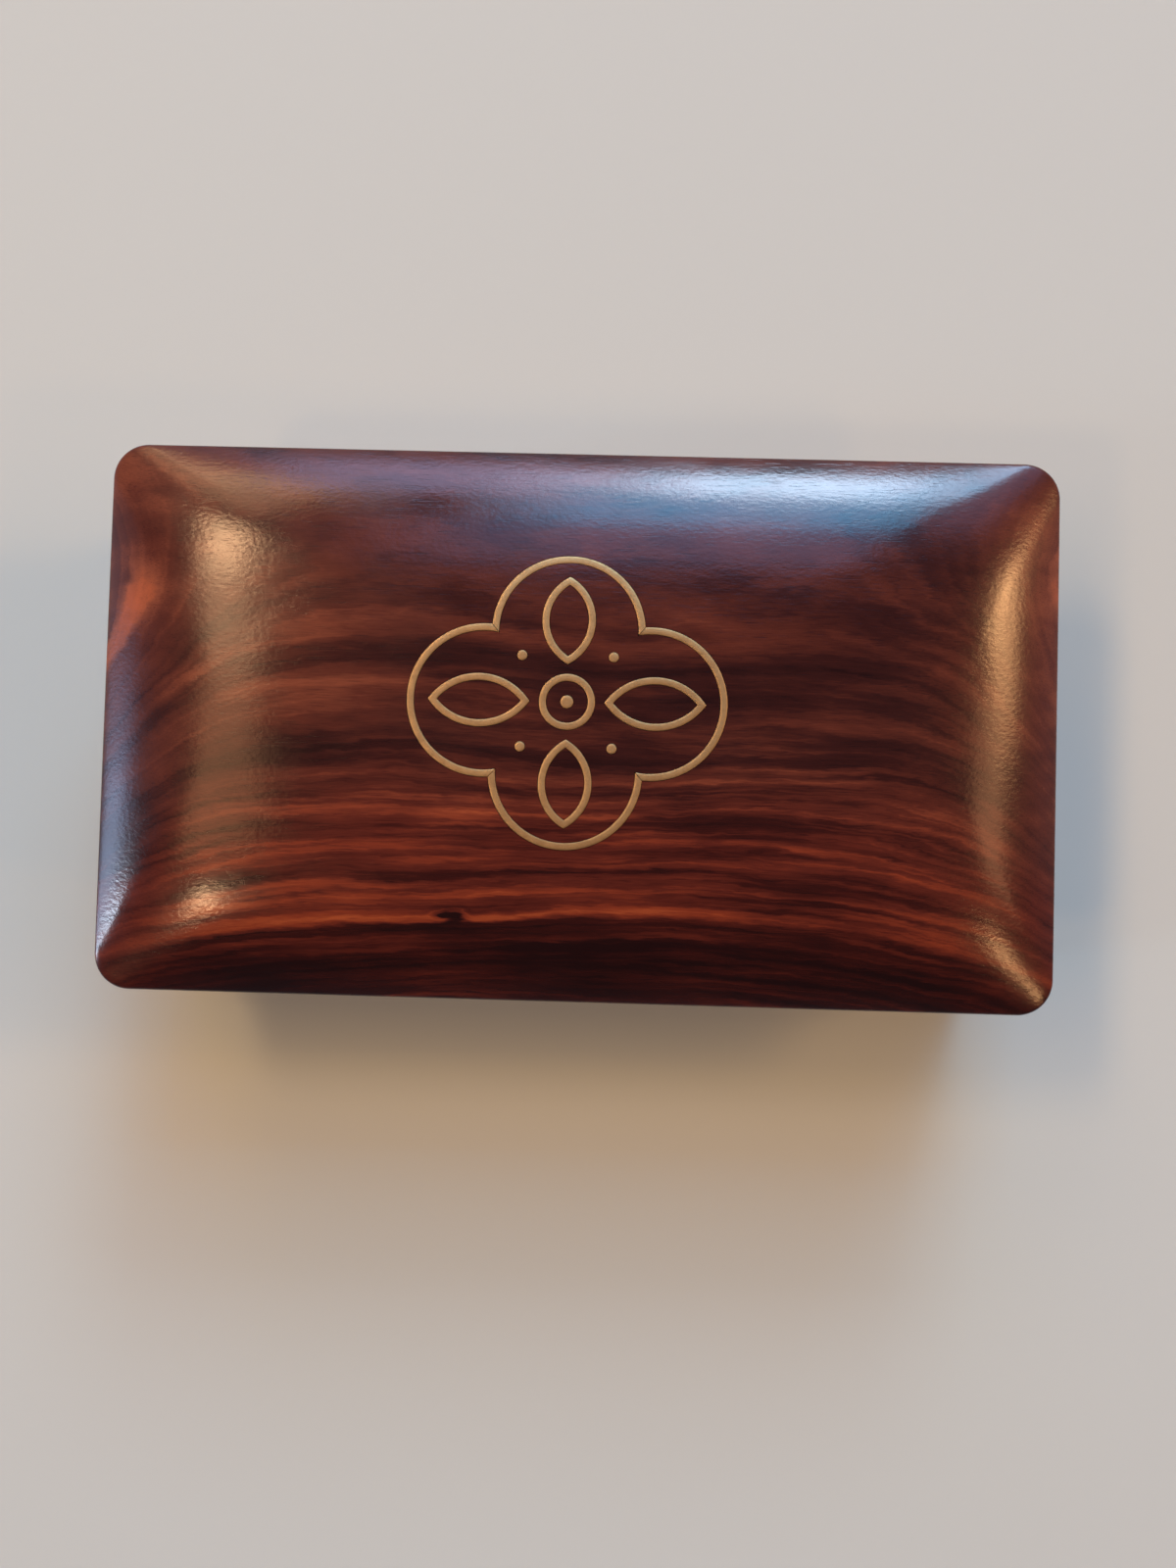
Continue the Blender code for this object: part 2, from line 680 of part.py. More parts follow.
def make_wire(name, lines, closed, material, lid_axis):
    mesh = bmesh.new()
    add_inlay_band(mesh, lines, closed, 0)
    hang_on_lid(solid_object(name, mesh, material), lid_axis)


def make_inlay(material, lid_axis):
    half_width = WIRE_WIDTH / 2
    for index, side in enumerate(("right", "back", "left", "front")):
        lobe = lobe_lines(half_width, index, INLAY_CLEARANCE)
        make_wire(f"inlay_lobe_{side}", lobe, False, material, lid_axis)
        petal = petal_lines(half_width, index)
        make_wire(f"inlay_petal_{side}", petal, True, material, lid_axis)
    make_wire("inlay_ring", ring_lines(half_width), True, material, lid_axis)
    for name, radius, place in inlay_pin_places():
        mesh = bmesh.new()
        add_inlay_pin(mesh, radius, place, 0)
        hang_on_lid(solid_object(f"inlay_pin_{name}", mesh, material), lid_axis)


def hang_on_lid(thing, lid_axis):
    """Turns the piece with the lid. Its mesh stays in the box's own frame."""
    thing.parent = lid_axis
    thing.location = -lid_axis.location


def make_lid_axis():
    axis = bpy.data.objects.new("lid_axis", None)
    axis.location = (0, AXIS_Y, AXIS_Z)
    bpy.context.scene.collection.objects.link(axis)
    return axis


def build():
    clear_scene()
    rosewood = make_material("rosewood", (0.085, 0.022, 0.014), 0.3, 0)
    panel_wood = make_material("panel_wood", (0.16, 0.055, 0.03), 0.5, 0)
    spline_wood = make_material("spline_wood", (0.3, 0.12, 0.05), 0.5, 0)
    inlay_brass = make_material("inlay_brass", (0.45, 0.26, 0.11), 0.4, 1)
    hinge_brass = make_material("hinge_brass", (0.58, 0.4, 0.17), 0.35, 1)
    pin_brass = make_material("pin_brass", (0.5, 0.33, 0.14), 0.3, 1)
    screw_brass = make_material("screw_brass", (0.62, 0.45, 0.2), 0.3, 1)
    lid_axis = make_lid_axis()

    groove = make_bottom_groove()
    slots = make_spline_slots()
    wall_cuts = (groove, slots)
    body_mortises = make_mortises("cut_body_mortises", -1)
    lid_mortises = make_mortises("cut_lid_mortises", 1)
    body_holes = make_screw_holes("cut_body_screw_holes", -1)
    lid_holes = make_screw_holes("cut_lid_screw_holes", 1)
    bores = make_bores()

    long_wall = (BODY_HALF_LENGTH, BODY_HALF_WIDTH)
    short_wall = (BODY_HALF_WIDTH, BODY_HALF_LENGTH)
    back_cuts = (*wall_cuts, body_mortises, body_holes)
    make_wall("front_wall", *long_wall, 0, rosewood, wall_cuts)
    make_wall("right_wall", *short_wall, math.pi / 2, rosewood, wall_cuts)
    make_wall("back_wall", *long_wall, math.pi, rosewood, back_cuts)
    make_wall("left_wall", *short_wall, -math.pi / 2, rosewood, wall_cuts)
    make_bottom_panel(panel_wood)
    make_splines(spline_wood)

    for hinge, x in HINGE_PLACES.items():
        make_leaf("body", hinge, x, -1, hinge_brass, body_holes, bores)
        lid_leaf = make_leaf("lid", hinge, x, 1, hinge_brass, lid_holes, bores)
        hang_on_lid(lid_leaf, lid_axis)
    make_pins(pin_brass)
    make_screws("body", -1, screw_brass, lid_axis)
    make_screws("lid", 1, screw_brass, lid_axis)

    lid = make_lid(rosewood, (lid_mortises, lid_holes, make_inlay_grooves()))
    hang_on_lid(lid, lid_axis)
    make_inlay(inlay_brass, lid_axis)


build()
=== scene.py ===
"""Looks of the rosewood box: fine surfaces, wood and brass materials, floor, light and camera."""

import math

import bmesh
import bpy
from mathutils import Matrix, Vector
from mathutils.bvhtree import BVHTree


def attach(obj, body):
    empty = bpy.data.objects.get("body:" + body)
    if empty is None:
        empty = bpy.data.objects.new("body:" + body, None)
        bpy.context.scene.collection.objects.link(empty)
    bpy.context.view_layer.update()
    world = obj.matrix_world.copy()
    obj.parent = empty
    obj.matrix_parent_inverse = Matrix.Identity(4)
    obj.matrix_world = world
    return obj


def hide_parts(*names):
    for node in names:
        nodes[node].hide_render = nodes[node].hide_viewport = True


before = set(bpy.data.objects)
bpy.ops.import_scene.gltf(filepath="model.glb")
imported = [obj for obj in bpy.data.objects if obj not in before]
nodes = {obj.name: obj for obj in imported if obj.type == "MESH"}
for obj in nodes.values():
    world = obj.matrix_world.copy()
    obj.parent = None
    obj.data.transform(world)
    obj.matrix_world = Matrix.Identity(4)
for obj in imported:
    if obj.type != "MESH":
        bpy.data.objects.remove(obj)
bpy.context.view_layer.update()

# Sizes that the fine surfaces share with the model, in metres
LID_LENGTH = 0.203
LID_WIDTH = 0.117
LID_CORNER_RADIUS = 0.0075
LID_CROWN = 0.011
LID_EDGE_DEPTH = 0.004
LID_EDGE_ROUND = 0.002
LID_TOP_ROUND = 0.001
LID_OVERHANG = 0.005
LID_RECESS_DEPTH = 0.0075
LID_RECESS_MARGIN = 0.002
LID_RECESS_CORNER_RADIUS = 0.006
LID_RECESS_FILLET = 0.004
SHOULDER_POWER = 3.5
HIP_SOFTNESS = 0.7
RING_SHARE = 0.5
ROUND_END_SHARE = 0.94
PART_GAP = 0.0003
CUT_OVERRUN = 0.003

WALL_HEIGHT = 0.036
WALL_THICKNESS = 0.009
WALL_CORNER_RADIUS = 0.005
WALL_FOOT_ROUND = 0.002
WALL_RIM_ROUND = 0.0006
BOTTOM_THICKNESS = 0.005
BOTTOM_RAISE = 0.003
BOTTOM_TONGUE = 0.004
SPLINE_THICKNESS = 0.0025
SPLINE_WIDTH = 0.008
SPLINE_FLOOR_MARGIN = 0.004
GLUE_LINE = 0.00004

HINGE_END_MARGIN = 0.0218
HINGE_LENGTH = 0.0254
HINGE_AXIS_OUT = 0.0005
BARREL_RADIUS = 0.002
LEAF_THICKNESS = 0.001
LEAF_INNER_MARGIN = 0.0017
SCREW_END_MARGIN = 0.0049
SCREW_LENGTH = 0.0065
SCREW_HEAD_RADIUS = 0.0017
SCREW_SHANK_RADIUS = 0.0009
SCREW_CLEARANCE = 0.00015
SEAT_GAP = 0.00012

INLAY_X = -0.002
INLAY_Y = 0.004
WIRE_WIDTH = 0.0014
WIRE_DEPTH = 0.0018
WIRE_PROUD = 0.00008
WIRE_EDGE = 0.00012
WIRE_SIDE_SHARE = 0.1
WIRE_EDGE_SHARE = 0.7
WIRE_FLAT_SHARE = 0.35
PIN_FLAT_SHARE = 0.5
INLAY_CLEARANCE = 0.00012
LOBE_OUT_X = 0.017
LOBE_OUT_Y = 0.0145
LOBE_LAP = 0.0038
RING_RADIUS = 0.005
PETAL_WIDTH = 0.0095
PETAL_RING_MARGIN = 0.0035
PETAL_LOBE_MARGIN = 0.0045
CENTRE_PIN_RADIUS = 0.0013
SMALL_PIN_RADIUS = 0.001
SMALL_PIN_RING_MARGIN = 0.0082

HALF_LENGTH = LID_LENGTH / 2
HALF_WIDTH = LID_WIDTH / 2
LID_BOTTOM = WALL_HEIGHT + PART_GAP
LID_RIM = LID_BOTTOM + LID_EDGE_DEPTH
BODY_HALF_LENGTH = HALF_LENGTH - LID_OVERHANG
BODY_HALF_WIDTH = HALF_WIDTH - LID_OVERHANG
INNER_HALF_LENGTH = BODY_HALF_LENGTH - WALL_THICKNESS
INNER_HALF_WIDTH = BODY_HALF_WIDTH - WALL_THICKNESS
AXIS_Y = BODY_HALF_WIDTH + HINGE_AXIS_OUT
AXIS_Z = WALL_HEIGHT + PART_GAP / 2
LEAF_INNER_Y = INNER_HALF_WIDTH + LEAF_INNER_MARGIN
SCREW_Y = BODY_HALF_WIDTH - WALL_THICKNESS / 2
SPLINE_BOTTOM = BOTTOM_RAISE + BOTTOM_THICKNESS + SPLINE_FLOOR_MARGIN
HINGE_OUT = BODY_HALF_LENGTH - HINGE_END_MARGIN - HINGE_LENGTH / 2
LOBE_RADIUS = math.hypot(LOBE_OUT_X, LOBE_OUT_Y) / 2 + LOBE_LAP
LOBE_CENTRES = ((LOBE_OUT_X, 0), (0, LOBE_OUT_Y), (-LOBE_OUT_X, 0), (0, -LOBE_OUT_Y))
SIDES = {"left": -1, "right": 1}
DEPTHS = {"front": -1, "back": 1}

# Counts of steps along curves, and how the crown's rings are spread
CORNER_STEPS = 22
LONG_SIDE_STEPS = 36
SHORT_SIDE_STEPS = 24
CROWN_STEPS = 56
EDGE_STEPS = 8
TOP_ROUND_STEPS = 6
ROUND_STEPS = 7
LOBE_STEPS = 72
PETAL_STEPS = 40
RING_STEPS = 96
PIN_STEPS = 40
SCREW_STEPS = 24
CROWN_STEP_POWER = 1.25
CROWN_FILL_SHARE = 0.96

# Edges bent by more degrees than this are shaded sharp
SHARP_DEGREES = 35
WIRE_SHARP_DEGREES = 40
CROWN_SHARP_DEGREES = 60

# Surfaces this near each other, in metres, and facing this much the same way are one and the same.
# LEAST_DISTANCE keeps a point that lies on a corner from dividing by nothing.
SAME_PLACE = 0.0001
SAME_FACING = 0.94
LEAST_DISTANCE = 1e-7


# Meshes

def add_loft(mesh, rings):
    rows = [[mesh.verts.new(point) for point in ring] for ring in rings]
    count = len(rows[0])
    for low, high in zip(rows, rows[1:]):
        for i in range(count):
            j = (i + 1) % count
            mesh.faces.new((low[i], low[j], high[j], high[i]))
    mesh.faces.new(list(reversed(rows[0])))
    mesh.faces.new(rows[-1])


def add_columns(mesh, columns, closed):
    """A bar whose section has one corner on each column, run along columns of equal length."""
    rows = [[mesh.verts.new(point) for point in column] for column in columns]
    count = len(rows[0])
    for column, following in zip(rows, rows[1:] + rows[:1]):
        for i in range(count if closed else count - 1):
            j = (i + 1) % count
            mesh.faces.new((column[i], column[j], following[j], following[i]))
    if not closed:
        mesh.faces.new([row[0] for row in rows])
        mesh.faces.new([row[-1] for row in reversed(rows)])


def add_prism_z(mesh, outline, low, high):
    add_loft(mesh, [[(x, y, z) for x, y in outline] for z in (low, high)])


def add_prism_x(mesh, outline, low, high):
    add_loft(mesh, [[(x, y, z) for y, z in outline] for x in (low, high)])


def unit_circle(steps):
    turns = [math.tau * i / steps for i in range(steps)]
    return [(math.cos(turn), math.sin(turn)) for turn in turns]


def rectangle(low_x, low_y, high_x, high_y):
    return [(low_x, low_y), (high_x, low_y), (high_x, high_y), (low_x, high_y)]


def rounded_rectangle(half_x, half_y, radius, steps):
    points = []
    for quarter, (side_x, side_y) in enumerate(((1, 1), (-1, 1), (-1, -1), (1, -1))):
        centre_x = side_x * (half_x - radius)
        centre_y = side_y * (half_y - radius)
        for i in range(steps + 1):
            turn = math.pi / 2 * (quarter + i / steps)
            points.append((centre_x + radius * math.cos(turn), centre_y + radius * math.sin(turn)))
    return points


def new_object(name, mesh):
    bmesh.ops.recalc_face_normals(mesh, faces=mesh.faces)
    data = bpy.data.meshes.new(name)
    mesh.to_mesh(data)
    mesh.free()
    thing = bpy.data.objects.new(name, data)
    bpy.context.scene.collection.objects.link(thing)
    return thing


def cut(thing, *cutters):
    """Takes the cutters out of the piece for good, and removes them."""
    for cutter in cutters:
        modifier = thing.modifiers.new(cutter.name, "BOOLEAN")
        modifier.operation = "DIFFERENCE"
        modifier.solver = "EXACT"
        modifier.object = cutter
    graph = bpy.context.evaluated_depsgraph_get()
    data = bpy.data.meshes.new_from_object(thing.evaluated_get(graph))
    thing.modifiers.clear()
    old = thing.data
    thing.data = data
    data.name = thing.name
    bpy.data.meshes.remove(old)
    for cutter in cutters:
        bpy.data.meshes.remove(cutter.data)


def smooth(thing, degrees=SHARP_DEGREES):
    thing.data.shade_smooth()
    thing.data.set_sharp_from_angle(angle=math.radians(degrees))


def place(thing, body, slot, material, *replaced):
    thing.data.materials.clear()
    thing.data.materials.append(material)
    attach(thing, body)
    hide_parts(*replaced)


# Lid

def rise_share(inset):
    """Share of the crown's height reached at this distance in from one pair of edges."""
    outward_share = 1 - min(max(inset / HALF_WIDTH, 0), 1)
    return 1 - outward_share**SHOULDER_POWER


def rise_rate(inset):
    """How fast that share grows with the distance."""
    outward_share = 1 - min(max(inset / HALF_WIDTH, 0), 1)
    return SHOULDER_POWER / HALF_WIDTH * outward_share ** (SHOULDER_POWER - 1)


def crown_height(x, y, inset):
    """Height of the lid's top above its rim at a point of the ring that lies this far in. It is
    part the ring's own rise, and part the rises from the ends and from the sides multiplied, which
    keeps the hips at the corners soft."""
    spread_share = rise_share(HALF_LENGTH - abs(x)) * rise_share(HALF_WIDTH - abs(y))
    return LID_CROWN * (RING_SHARE * rise_share(inset) + (1 - RING_SHARE) * spread_share)


def rim_slope(x, y, spacing):
    """Steepness of the crown by the rim, where the rings lie this many times their insets apart."""
    inset_x, inset_y = HALF_LENGTH - abs(x), HALF_WIDTH - abs(y)
    rate_x = rise_rate(inset_x) * rise_share(inset_y)
    rate_y = rise_share(inset_x) * rise_rate(inset_y)
    spread_rate = math.hypot(rate_x, rate_y)
    rate = RING_SHARE * rise_rate(0) / spacing + (1 - RING_SHARE) * spread_rate
    return math.atan(LID_CROWN * rate)


def lid_top(y):
    """Height of the lid's top by its middle, where it is the same all along the lid."""
    return LID_RIM + crown_height(0, y, HALF_WIDTH - abs(y))


def lid_outline(inset, radius):
    """Plan points round the lid, this far in from its rim. Those along the sides are closer together
    towards the corners, where the crown bends most."""
    corners = rounded_rectangle(HALF_LENGTH - inset, HALF_WIDTH - inset, radius, CORNER_STEPS)
    points = []
    for quarter, steps in enumerate((LONG_SIDE_STEPS, SHORT_SIDE_STEPS) * 2):
        following = (quarter + 1) * (CORNER_STEPS + 1)
        points += corners[quarter * (CORNER_STEPS + 1):following]
        start, end = Vector(points[-1]), Vector(corners[following % len(corners)])
        for i in range(1, steps):
            points.append(tuple(start.lerp(end, (1 - math.cos(math.pi * i / steps)) / 2)))
    return points


def crown_ring(inset):
    radius = min(LID_CORNER_RADIUS + HIP_SOFTNESS * inset, ROUND_END_SHARE * (HALF_WIDTH - inset))
    return [(x, y, LID_RIM + crown_height(x, y, inset)) for x, y in lid_outline(inset, radius)]


def rim_column(start, end):
    """The rim's rounding at one place, from its widest point in to where it meets the crown's slope.
    start is the widest point in plan, and end lies the rounding's radius further in."""
    outward = (start - end).normalized()
    spacing = (1 + HIP_SOFTNESS) * (abs(outward.x) + abs(outward.y)) - HIP_SOFTNESS
    top_turn = math.pi / 2 - rim_slope(*end, spacing)
    meet = start.lerp(end, 1 - math.cos(top_turn))
    meet_z = LID_RIM + crown_height(*meet, (meet - start).length / spacing)
    widest_z = meet_z - LID_TOP_ROUND * math.sin(top_turn)
    points = []
    for i in range(TOP_ROUND_STEPS + 1):
        turn = top_turn * i / TOP_ROUND_STEPS
        x, y = start.lerp(end, 1 - math.cos(turn))
        points.append((x, y, widest_z + LID_TOP_ROUND * math.sin(turn)))
    return points


def lid_rings():
    """Rings from the flat underside, round the edge, round the rim and over the crown."""
    rim = lid_outline(0, LID_CORNER_RADIUS)
    inner = lid_outline(LID_TOP_ROUND, LID_CORNER_RADIUS - LID_TOP_ROUND)
    columns = [rim_column(Vector(start), Vector(end)) for start, end in zip(rim, inner)]
    rings = []
    for i in range(EDGE_STEPS):
        turn = math.pi / 2 * i / EDGE_STEPS
        inset = LID_EDGE_ROUND * (1 - math.sin(turn))
        outline = lid_outline(inset, LID_CORNER_RADIUS - inset)
        ring = []
        for (x, y), column in zip(outline, columns):
            widest_z = column[0][-1]
            ring.append((x, y, widest_z - (widest_z - LID_BOTTOM) * math.cos(turn)))
        rings.append(ring)
    rings += [list(ring) for ring in zip(*columns)]
    reach = HALF_WIDTH * CROWN_FILL_SHARE - LID_TOP_ROUND
    for i in range(1, CROWN_STEPS + 1):
        rings.append(crown_ring(LID_TOP_ROUND + reach * (i / CROWN_STEPS) ** CROWN_STEP_POWER))
    return rings


def recess_cutter():
    half_x = INNER_HALF_LENGTH - LID_RECESS_MARGIN
    half_y = INNER_HALF_WIDTH - LID_RECESS_MARGIN
    mouth = rounded_rectangle(half_x, half_y, LID_RECESS_CORNER_RADIUS, CORNER_STEPS)
    rings = [[(x, y, LID_BOTTOM - CUT_OVERRUN) for x, y in mouth]]
    fillet_z = LID_BOTTOM + LID_RECESS_DEPTH - LID_RECESS_FILLET
    for i in range(ROUND_STEPS + 1):
        turn = math.pi / 2 * i / ROUND_STEPS
        inset = LID_RECESS_FILLET * (1 - math.cos(turn))
        radius = LID_RECESS_CORNER_RADIUS - inset
        outline = rounded_rectangle(half_x - inset, half_y - inset, radius, CORNER_STEPS)
        z = fillet_z + LID_RECESS_FILLET * math.sin(turn)
        rings.append([(x, y, z) for x, y in outline])
    mesh = bmesh.new()
    add_loft(mesh, rings)
    return new_object("cutter_recess", mesh)


def mortise_cutter(up):
    face = LID_BOTTOM if up > 0 else WALL_HEIGHT
    leaf_in = LEAF_INNER_Y - SEAT_GAP
    barrel_in = AXIS_Y - BARREL_RADIUS - PART_GAP
    leaf_z = face + up * (LEAF_THICKNESS + SEAT_GAP)
    barrel_z = AXIS_Z + up * (BARREL_RADIUS + PART_GAP)
    mouth_z = face - up * CUT_OVERRUN
    outline = [(leaf_in, mouth_z), (leaf_in, leaf_z), (barrel_in, leaf_z), (barrel_in, barrel_z)]
    outline += [(HALF_WIDTH + CUT_OVERRUN, barrel_z), (HALF_WIDTH + CUT_OVERRUN, mouth_z)]
    reach = HINGE_LENGTH / 2 + SEAT_GAP
    mesh = bmesh.new()
    for x in (-HINGE_OUT, HINGE_OUT):
        add_prism_x(mesh, outline, x - reach, x + reach)
    return new_object("cutter_mortise", mesh)


def screw_cutter(up):
    face = LID_BOTTOM if up > 0 else WALL_HEIGHT
    head = SCREW_HEAD_RADIUS + SCREW_CLEARANCE
    shank = SCREW_SHANK_RADIUS + SCREW_CLEARANCE
    end = SCREW_LENGTH + SCREW_CLEARANCE
    sections = ((head, -CUT_OVERRUN), (head, 0), (shank, head - shank), (shank, end))
    mesh = bmesh.new()
    for side in SIDES.values():
        for end_side in SIDES.values():
            x = side * HINGE_OUT + end_side * (HINGE_LENGTH / 2 - SCREW_END_MARGIN)
            rings = []
            for radius, depth in sections:
                ring = [(x + radius * c, SCREW_Y + radius * s) for c, s in unit_circle(SCREW_STEPS)]
                rings.append([(px, py, face + up * depth) for px, py in ring])
            add_loft(mesh, rings)
    return new_object("cutter_screws", mesh)


# Inlay

def lobe_line(index, radius, end_gap):
    centre = Vector(LOBE_CENTRES[index])
    outward = math.atan2(centre.y, centre.x)
    ends = []
    for step in (-1, 1):
        apart = centre - Vector(LOBE_CENTRES[(index + step) % 4])
        turn = math.atan2(apart.y, apart.x)
        turn += step * math.acos((end_gap - apart.length / 2) / radius)
        ends.append(outward + math.remainder(turn - outward, math.tau))
    turns = [ends[0] + (ends[1] - ends[0]) * i / LOBE_STEPS for i in range(LOBE_STEPS + 1)]
    return [(centre.x + radius * math.cos(t), centre.y + radius * math.sin(t)) for t in turns]


def lobe_offset(index, offset):
    return lobe_line(index, LOBE_RADIUS + offset, INLAY_CLEARANCE / 2)


def quatrefoil_offset(offset):
    points = []
    for index in range(4):
        points += lobe_line(index, LOBE_RADIUS + offset, 0)[:-1]
    return points


def petal_offset(index, offset):
    near = RING_RADIUS + PETAL_RING_MARGIN
    far = math.hypot(*LOBE_CENTRES[index]) + LOBE_RADIUS - PETAL_LOBE_MARGIN
    half_length = (far - near) / 2
    half_width = PETAL_WIDTH / 2
    radius = (half_length**2 + half_width**2) / (2 * half_width)
    back = radius - half_width
    reach = math.acos(back / (radius + offset))
    turn = math.pi / 2 * index
    points = []
    for side in (1, -1):
        for i in range(PETAL_STEPS):
            bend = reach * (1 - 2 * i / PETAL_STEPS)
            along = (near + far) / 2 + side * (radius + offset) * math.sin(bend)
            across = side * ((radius + offset) * math.cos(bend) - back)
            x = along * math.cos(turn) - across * math.sin(turn)
            y = along * math.sin(turn) + across * math.cos(turn)
            points.append((x, y))
    return points


def ring_offset(offset):
    radius = RING_RADIUS + offset
    return [(radius * c, radius * s) for c, s in unit_circle(RING_STEPS)]


def wires():
    """Each inlaid wire's name, its line at an offset from its middle, and whether it closes."""
    for index, side in enumerate(("right", "back", "left", "front")):
        yield f"inlay_lobe_{side}", lambda e, i=index: lobe_offset(i, e), False
        yield f"inlay_petal_{side}", lambda e, i=index: petal_offset(i, e), True
    yield "inlay_ring", ring_offset, True


def inlay_pins():
    yield "inlay_pin_centre", CENTRE_PIN_RADIUS, (0, 0)
    out = (RING_RADIUS + SMALL_PIN_RING_MARGIN) / math.sqrt(2)
    for depth, side_y in DEPTHS.items():
        for side, side_x in SIDES.items():
            yield f"inlay_pin_{depth}_{side}", SMALL_PIN_RADIUS, (side_x * out, side_y * out)


def pin_circle(centre, radius):
    return [(centre[0] + radius * c, centre[1] + radius * s) for c, s in unit_circle(PIN_STEPS)]


def column(line, rise):
    """Points of a plan line on the lid's top, raised by rise."""
    return [(x + INLAY_X, y + INLAY_Y, lid_top(y + INLAY_Y) + rise) for x, y in line]


def groove_cutter():
    half = WIRE_WIDTH / 2 + INLAY_CLEARANCE
    below = -WIRE_DEPTH - INLAY_CLEARANCE
    mesh = bmesh.new()
    lines = [line for name, line, _ in wires() if "lobe" not in name] + [quatrefoil_offset]
    for line in lines:
        sides = ((half, CUT_OVERRUN), (-half, CUT_OVERRUN), (-half, below), (half, below))
        add_columns(mesh, [column(line(e), rise) for e, rise in sides], True)
    for _, radius, centre in inlay_pins():
        circle = pin_circle(centre, radius + INLAY_CLEARANCE)
        add_loft(mesh, [column(circle, rise) for rise in (below, CUT_OVERRUN)])
    return new_object("cutter_grooves", mesh)


def make_wires(material):
    half = WIRE_WIDTH / 2
    flat = half * WIRE_FLAT_SHARE
    side_rise, edge_rise = WIRE_PROUD * WIRE_SIDE_SHARE, WIRE_PROUD * WIRE_EDGE_SHARE
    section = (
        (half, -WIRE_DEPTH), (half, side_rise), (half - WIRE_EDGE, edge_rise), (flat, WIRE_PROUD),
        (-flat, WIRE_PROUD), (WIRE_EDGE - half, edge_rise), (-half, side_rise), (-half, -WIRE_DEPTH),
    )
    for name, line, closed in wires():
        mesh = bmesh.new()
        add_columns(mesh, [column(line(e), rise) for e, rise in section], closed)
        wire = new_object(f"wire_{name}", mesh)
        smooth(wire, WIRE_SHARP_DEGREES)
        place(wire, "lid", "inlay_brass", material, name)
    for name, radius, centre in inlay_pins():
        sides = ((radius, -WIRE_DEPTH), (radius, side_rise), (radius - WIRE_EDGE, edge_rise))
        sides += ((radius * PIN_FLAT_SHARE, WIRE_PROUD),)
        mesh = bmesh.new()
        add_loft(mesh, [column(pin_circle(centre, reach), rise) for reach, rise in sides])
        pin = new_object(f"peg_{name}", mesh)
        smooth(pin, WIRE_SHARP_DEGREES)
        place(pin, "lid", "inlay_brass", material, name)


def copy_normals(thing, source):
    """Shades the cut lid as the uncut one where the surface is the same, so that the grooves leave no
    creases in the polish."""
    uncut = source.data
    tree = BVHTree.FromPolygons(
        [v.co for v in uncut.vertices], [p.vertices for p in uncut.polygons]
    )
    data = thing.data
    normals = [Vector(n.vector) for n in data.corner_normals]
    for polygon in data.polygons:
        for loop in polygon.loop_indices:
            point = data.vertices[data.loops[loop].vertex_index].co
            near, facing, index, gap = tree.find_nearest(point)
            if index is None or gap > SAME_PLACE or facing.dot(polygon.normal) < SAME_FACING:
                continue
            normal = Vector((0, 0, 0))
            for corner in uncut.polygons[index].vertices:
                vertex = uncut.vertices[corner]
                normal += vertex.normal / ((vertex.co - near).length + LEAST_DISTANCE)
            normals[loop] = normal.normalized()
    data.normals_split_custom_set(normals)


def make_lid(polished, inside):
    mesh = bmesh.new()
    add_loft(mesh, lid_rings())
    lid = new_object("fine_lid", mesh)
    smooth(lid, CROWN_SHARP_DEGREES)
    source = lid.copy()
    source.data = lid.data.copy()
    cut(lid, recess_cutter(), mortise_cutter(1), screw_cutter(1), groove_cutter())
    smooth(lid)
    copy_normals(lid, source)
    bpy.data.meshes.remove(source.data)
    place(lid, "lid", "rosewood", polished, "lid")
    lid.data.materials.append(inside)
    for polygon in lid.data.polygons:
        centre = polygon.center
        hollow = abs(centre.x) < INNER_HALF_LENGTH and abs(centre.y) < INNER_HALF_WIDTH
        if hollow and centre.z < LID_BOTTOM + LID_RECESS_DEPTH + PART_GAP:
            polygon.material_index = 1


# Walls, floor and splines

def wall_outline(half_run, out, inset):
    radius = WALL_CORNER_RADIUS - inset
    centre_x = half_run - WALL_CORNER_RADIUS
    centre_y = WALL_CORNER_RADIUS - out
    mitre_turn = math.pi / 4 - math.asin(GLUE_LINE / 2 / radius)
    right = []
    steps = CORNER_STEPS // 2
    for i in range(steps + 1):
        turn = mitre_turn * i / steps
        right.append((centre_x + radius * math.sin(turn), centre_y - radius * math.cos(turn)))
    right.append((half_run - WALL_THICKNESS - GLUE_LINE / math.sqrt(2), WALL_THICKNESS - out))
    return [(-x, y) for x, y in reversed(right)] + right


def groove_for_floor():
    mesh = bmesh.new()
    half_x = INNER_HALF_LENGTH + BOTTOM_TONGUE + GLUE_LINE
    half_y = INNER_HALF_WIDTH + BOTTOM_TONGUE + GLUE_LINE
    top = BOTTOM_RAISE + BOTTOM_THICKNESS + GLUE_LINE
    add_prism_z(mesh, rectangle(-half_x, -half_y, half_x, half_y), BOTTOM_RAISE - GLUE_LINE, top)
    return new_object("cutter_floor", mesh)


def add_spline(mesh, side_x, side_y, grow, top):
    along = Vector((side_x, side_y)) / math.sqrt(2)
    across = Vector((side_x, -side_y)) / math.sqrt(2)
    inner = Vector((side_x * INNER_HALF_LENGTH, side_y * INNER_HALF_WIDTH))
    middle = inner + along * WALL_THICKNESS / 2
    outline = []
    for u, v in ((-1, -1), (1, -1), (1, 1), (-1, 1)):
        corner = across * (SPLINE_WIDTH / 2 + grow) * u + along * (SPLINE_THICKNESS / 2 + grow) * v
        outline.append(middle + corner)
    add_prism_z(mesh, outline, SPLINE_BOTTOM - grow, top)


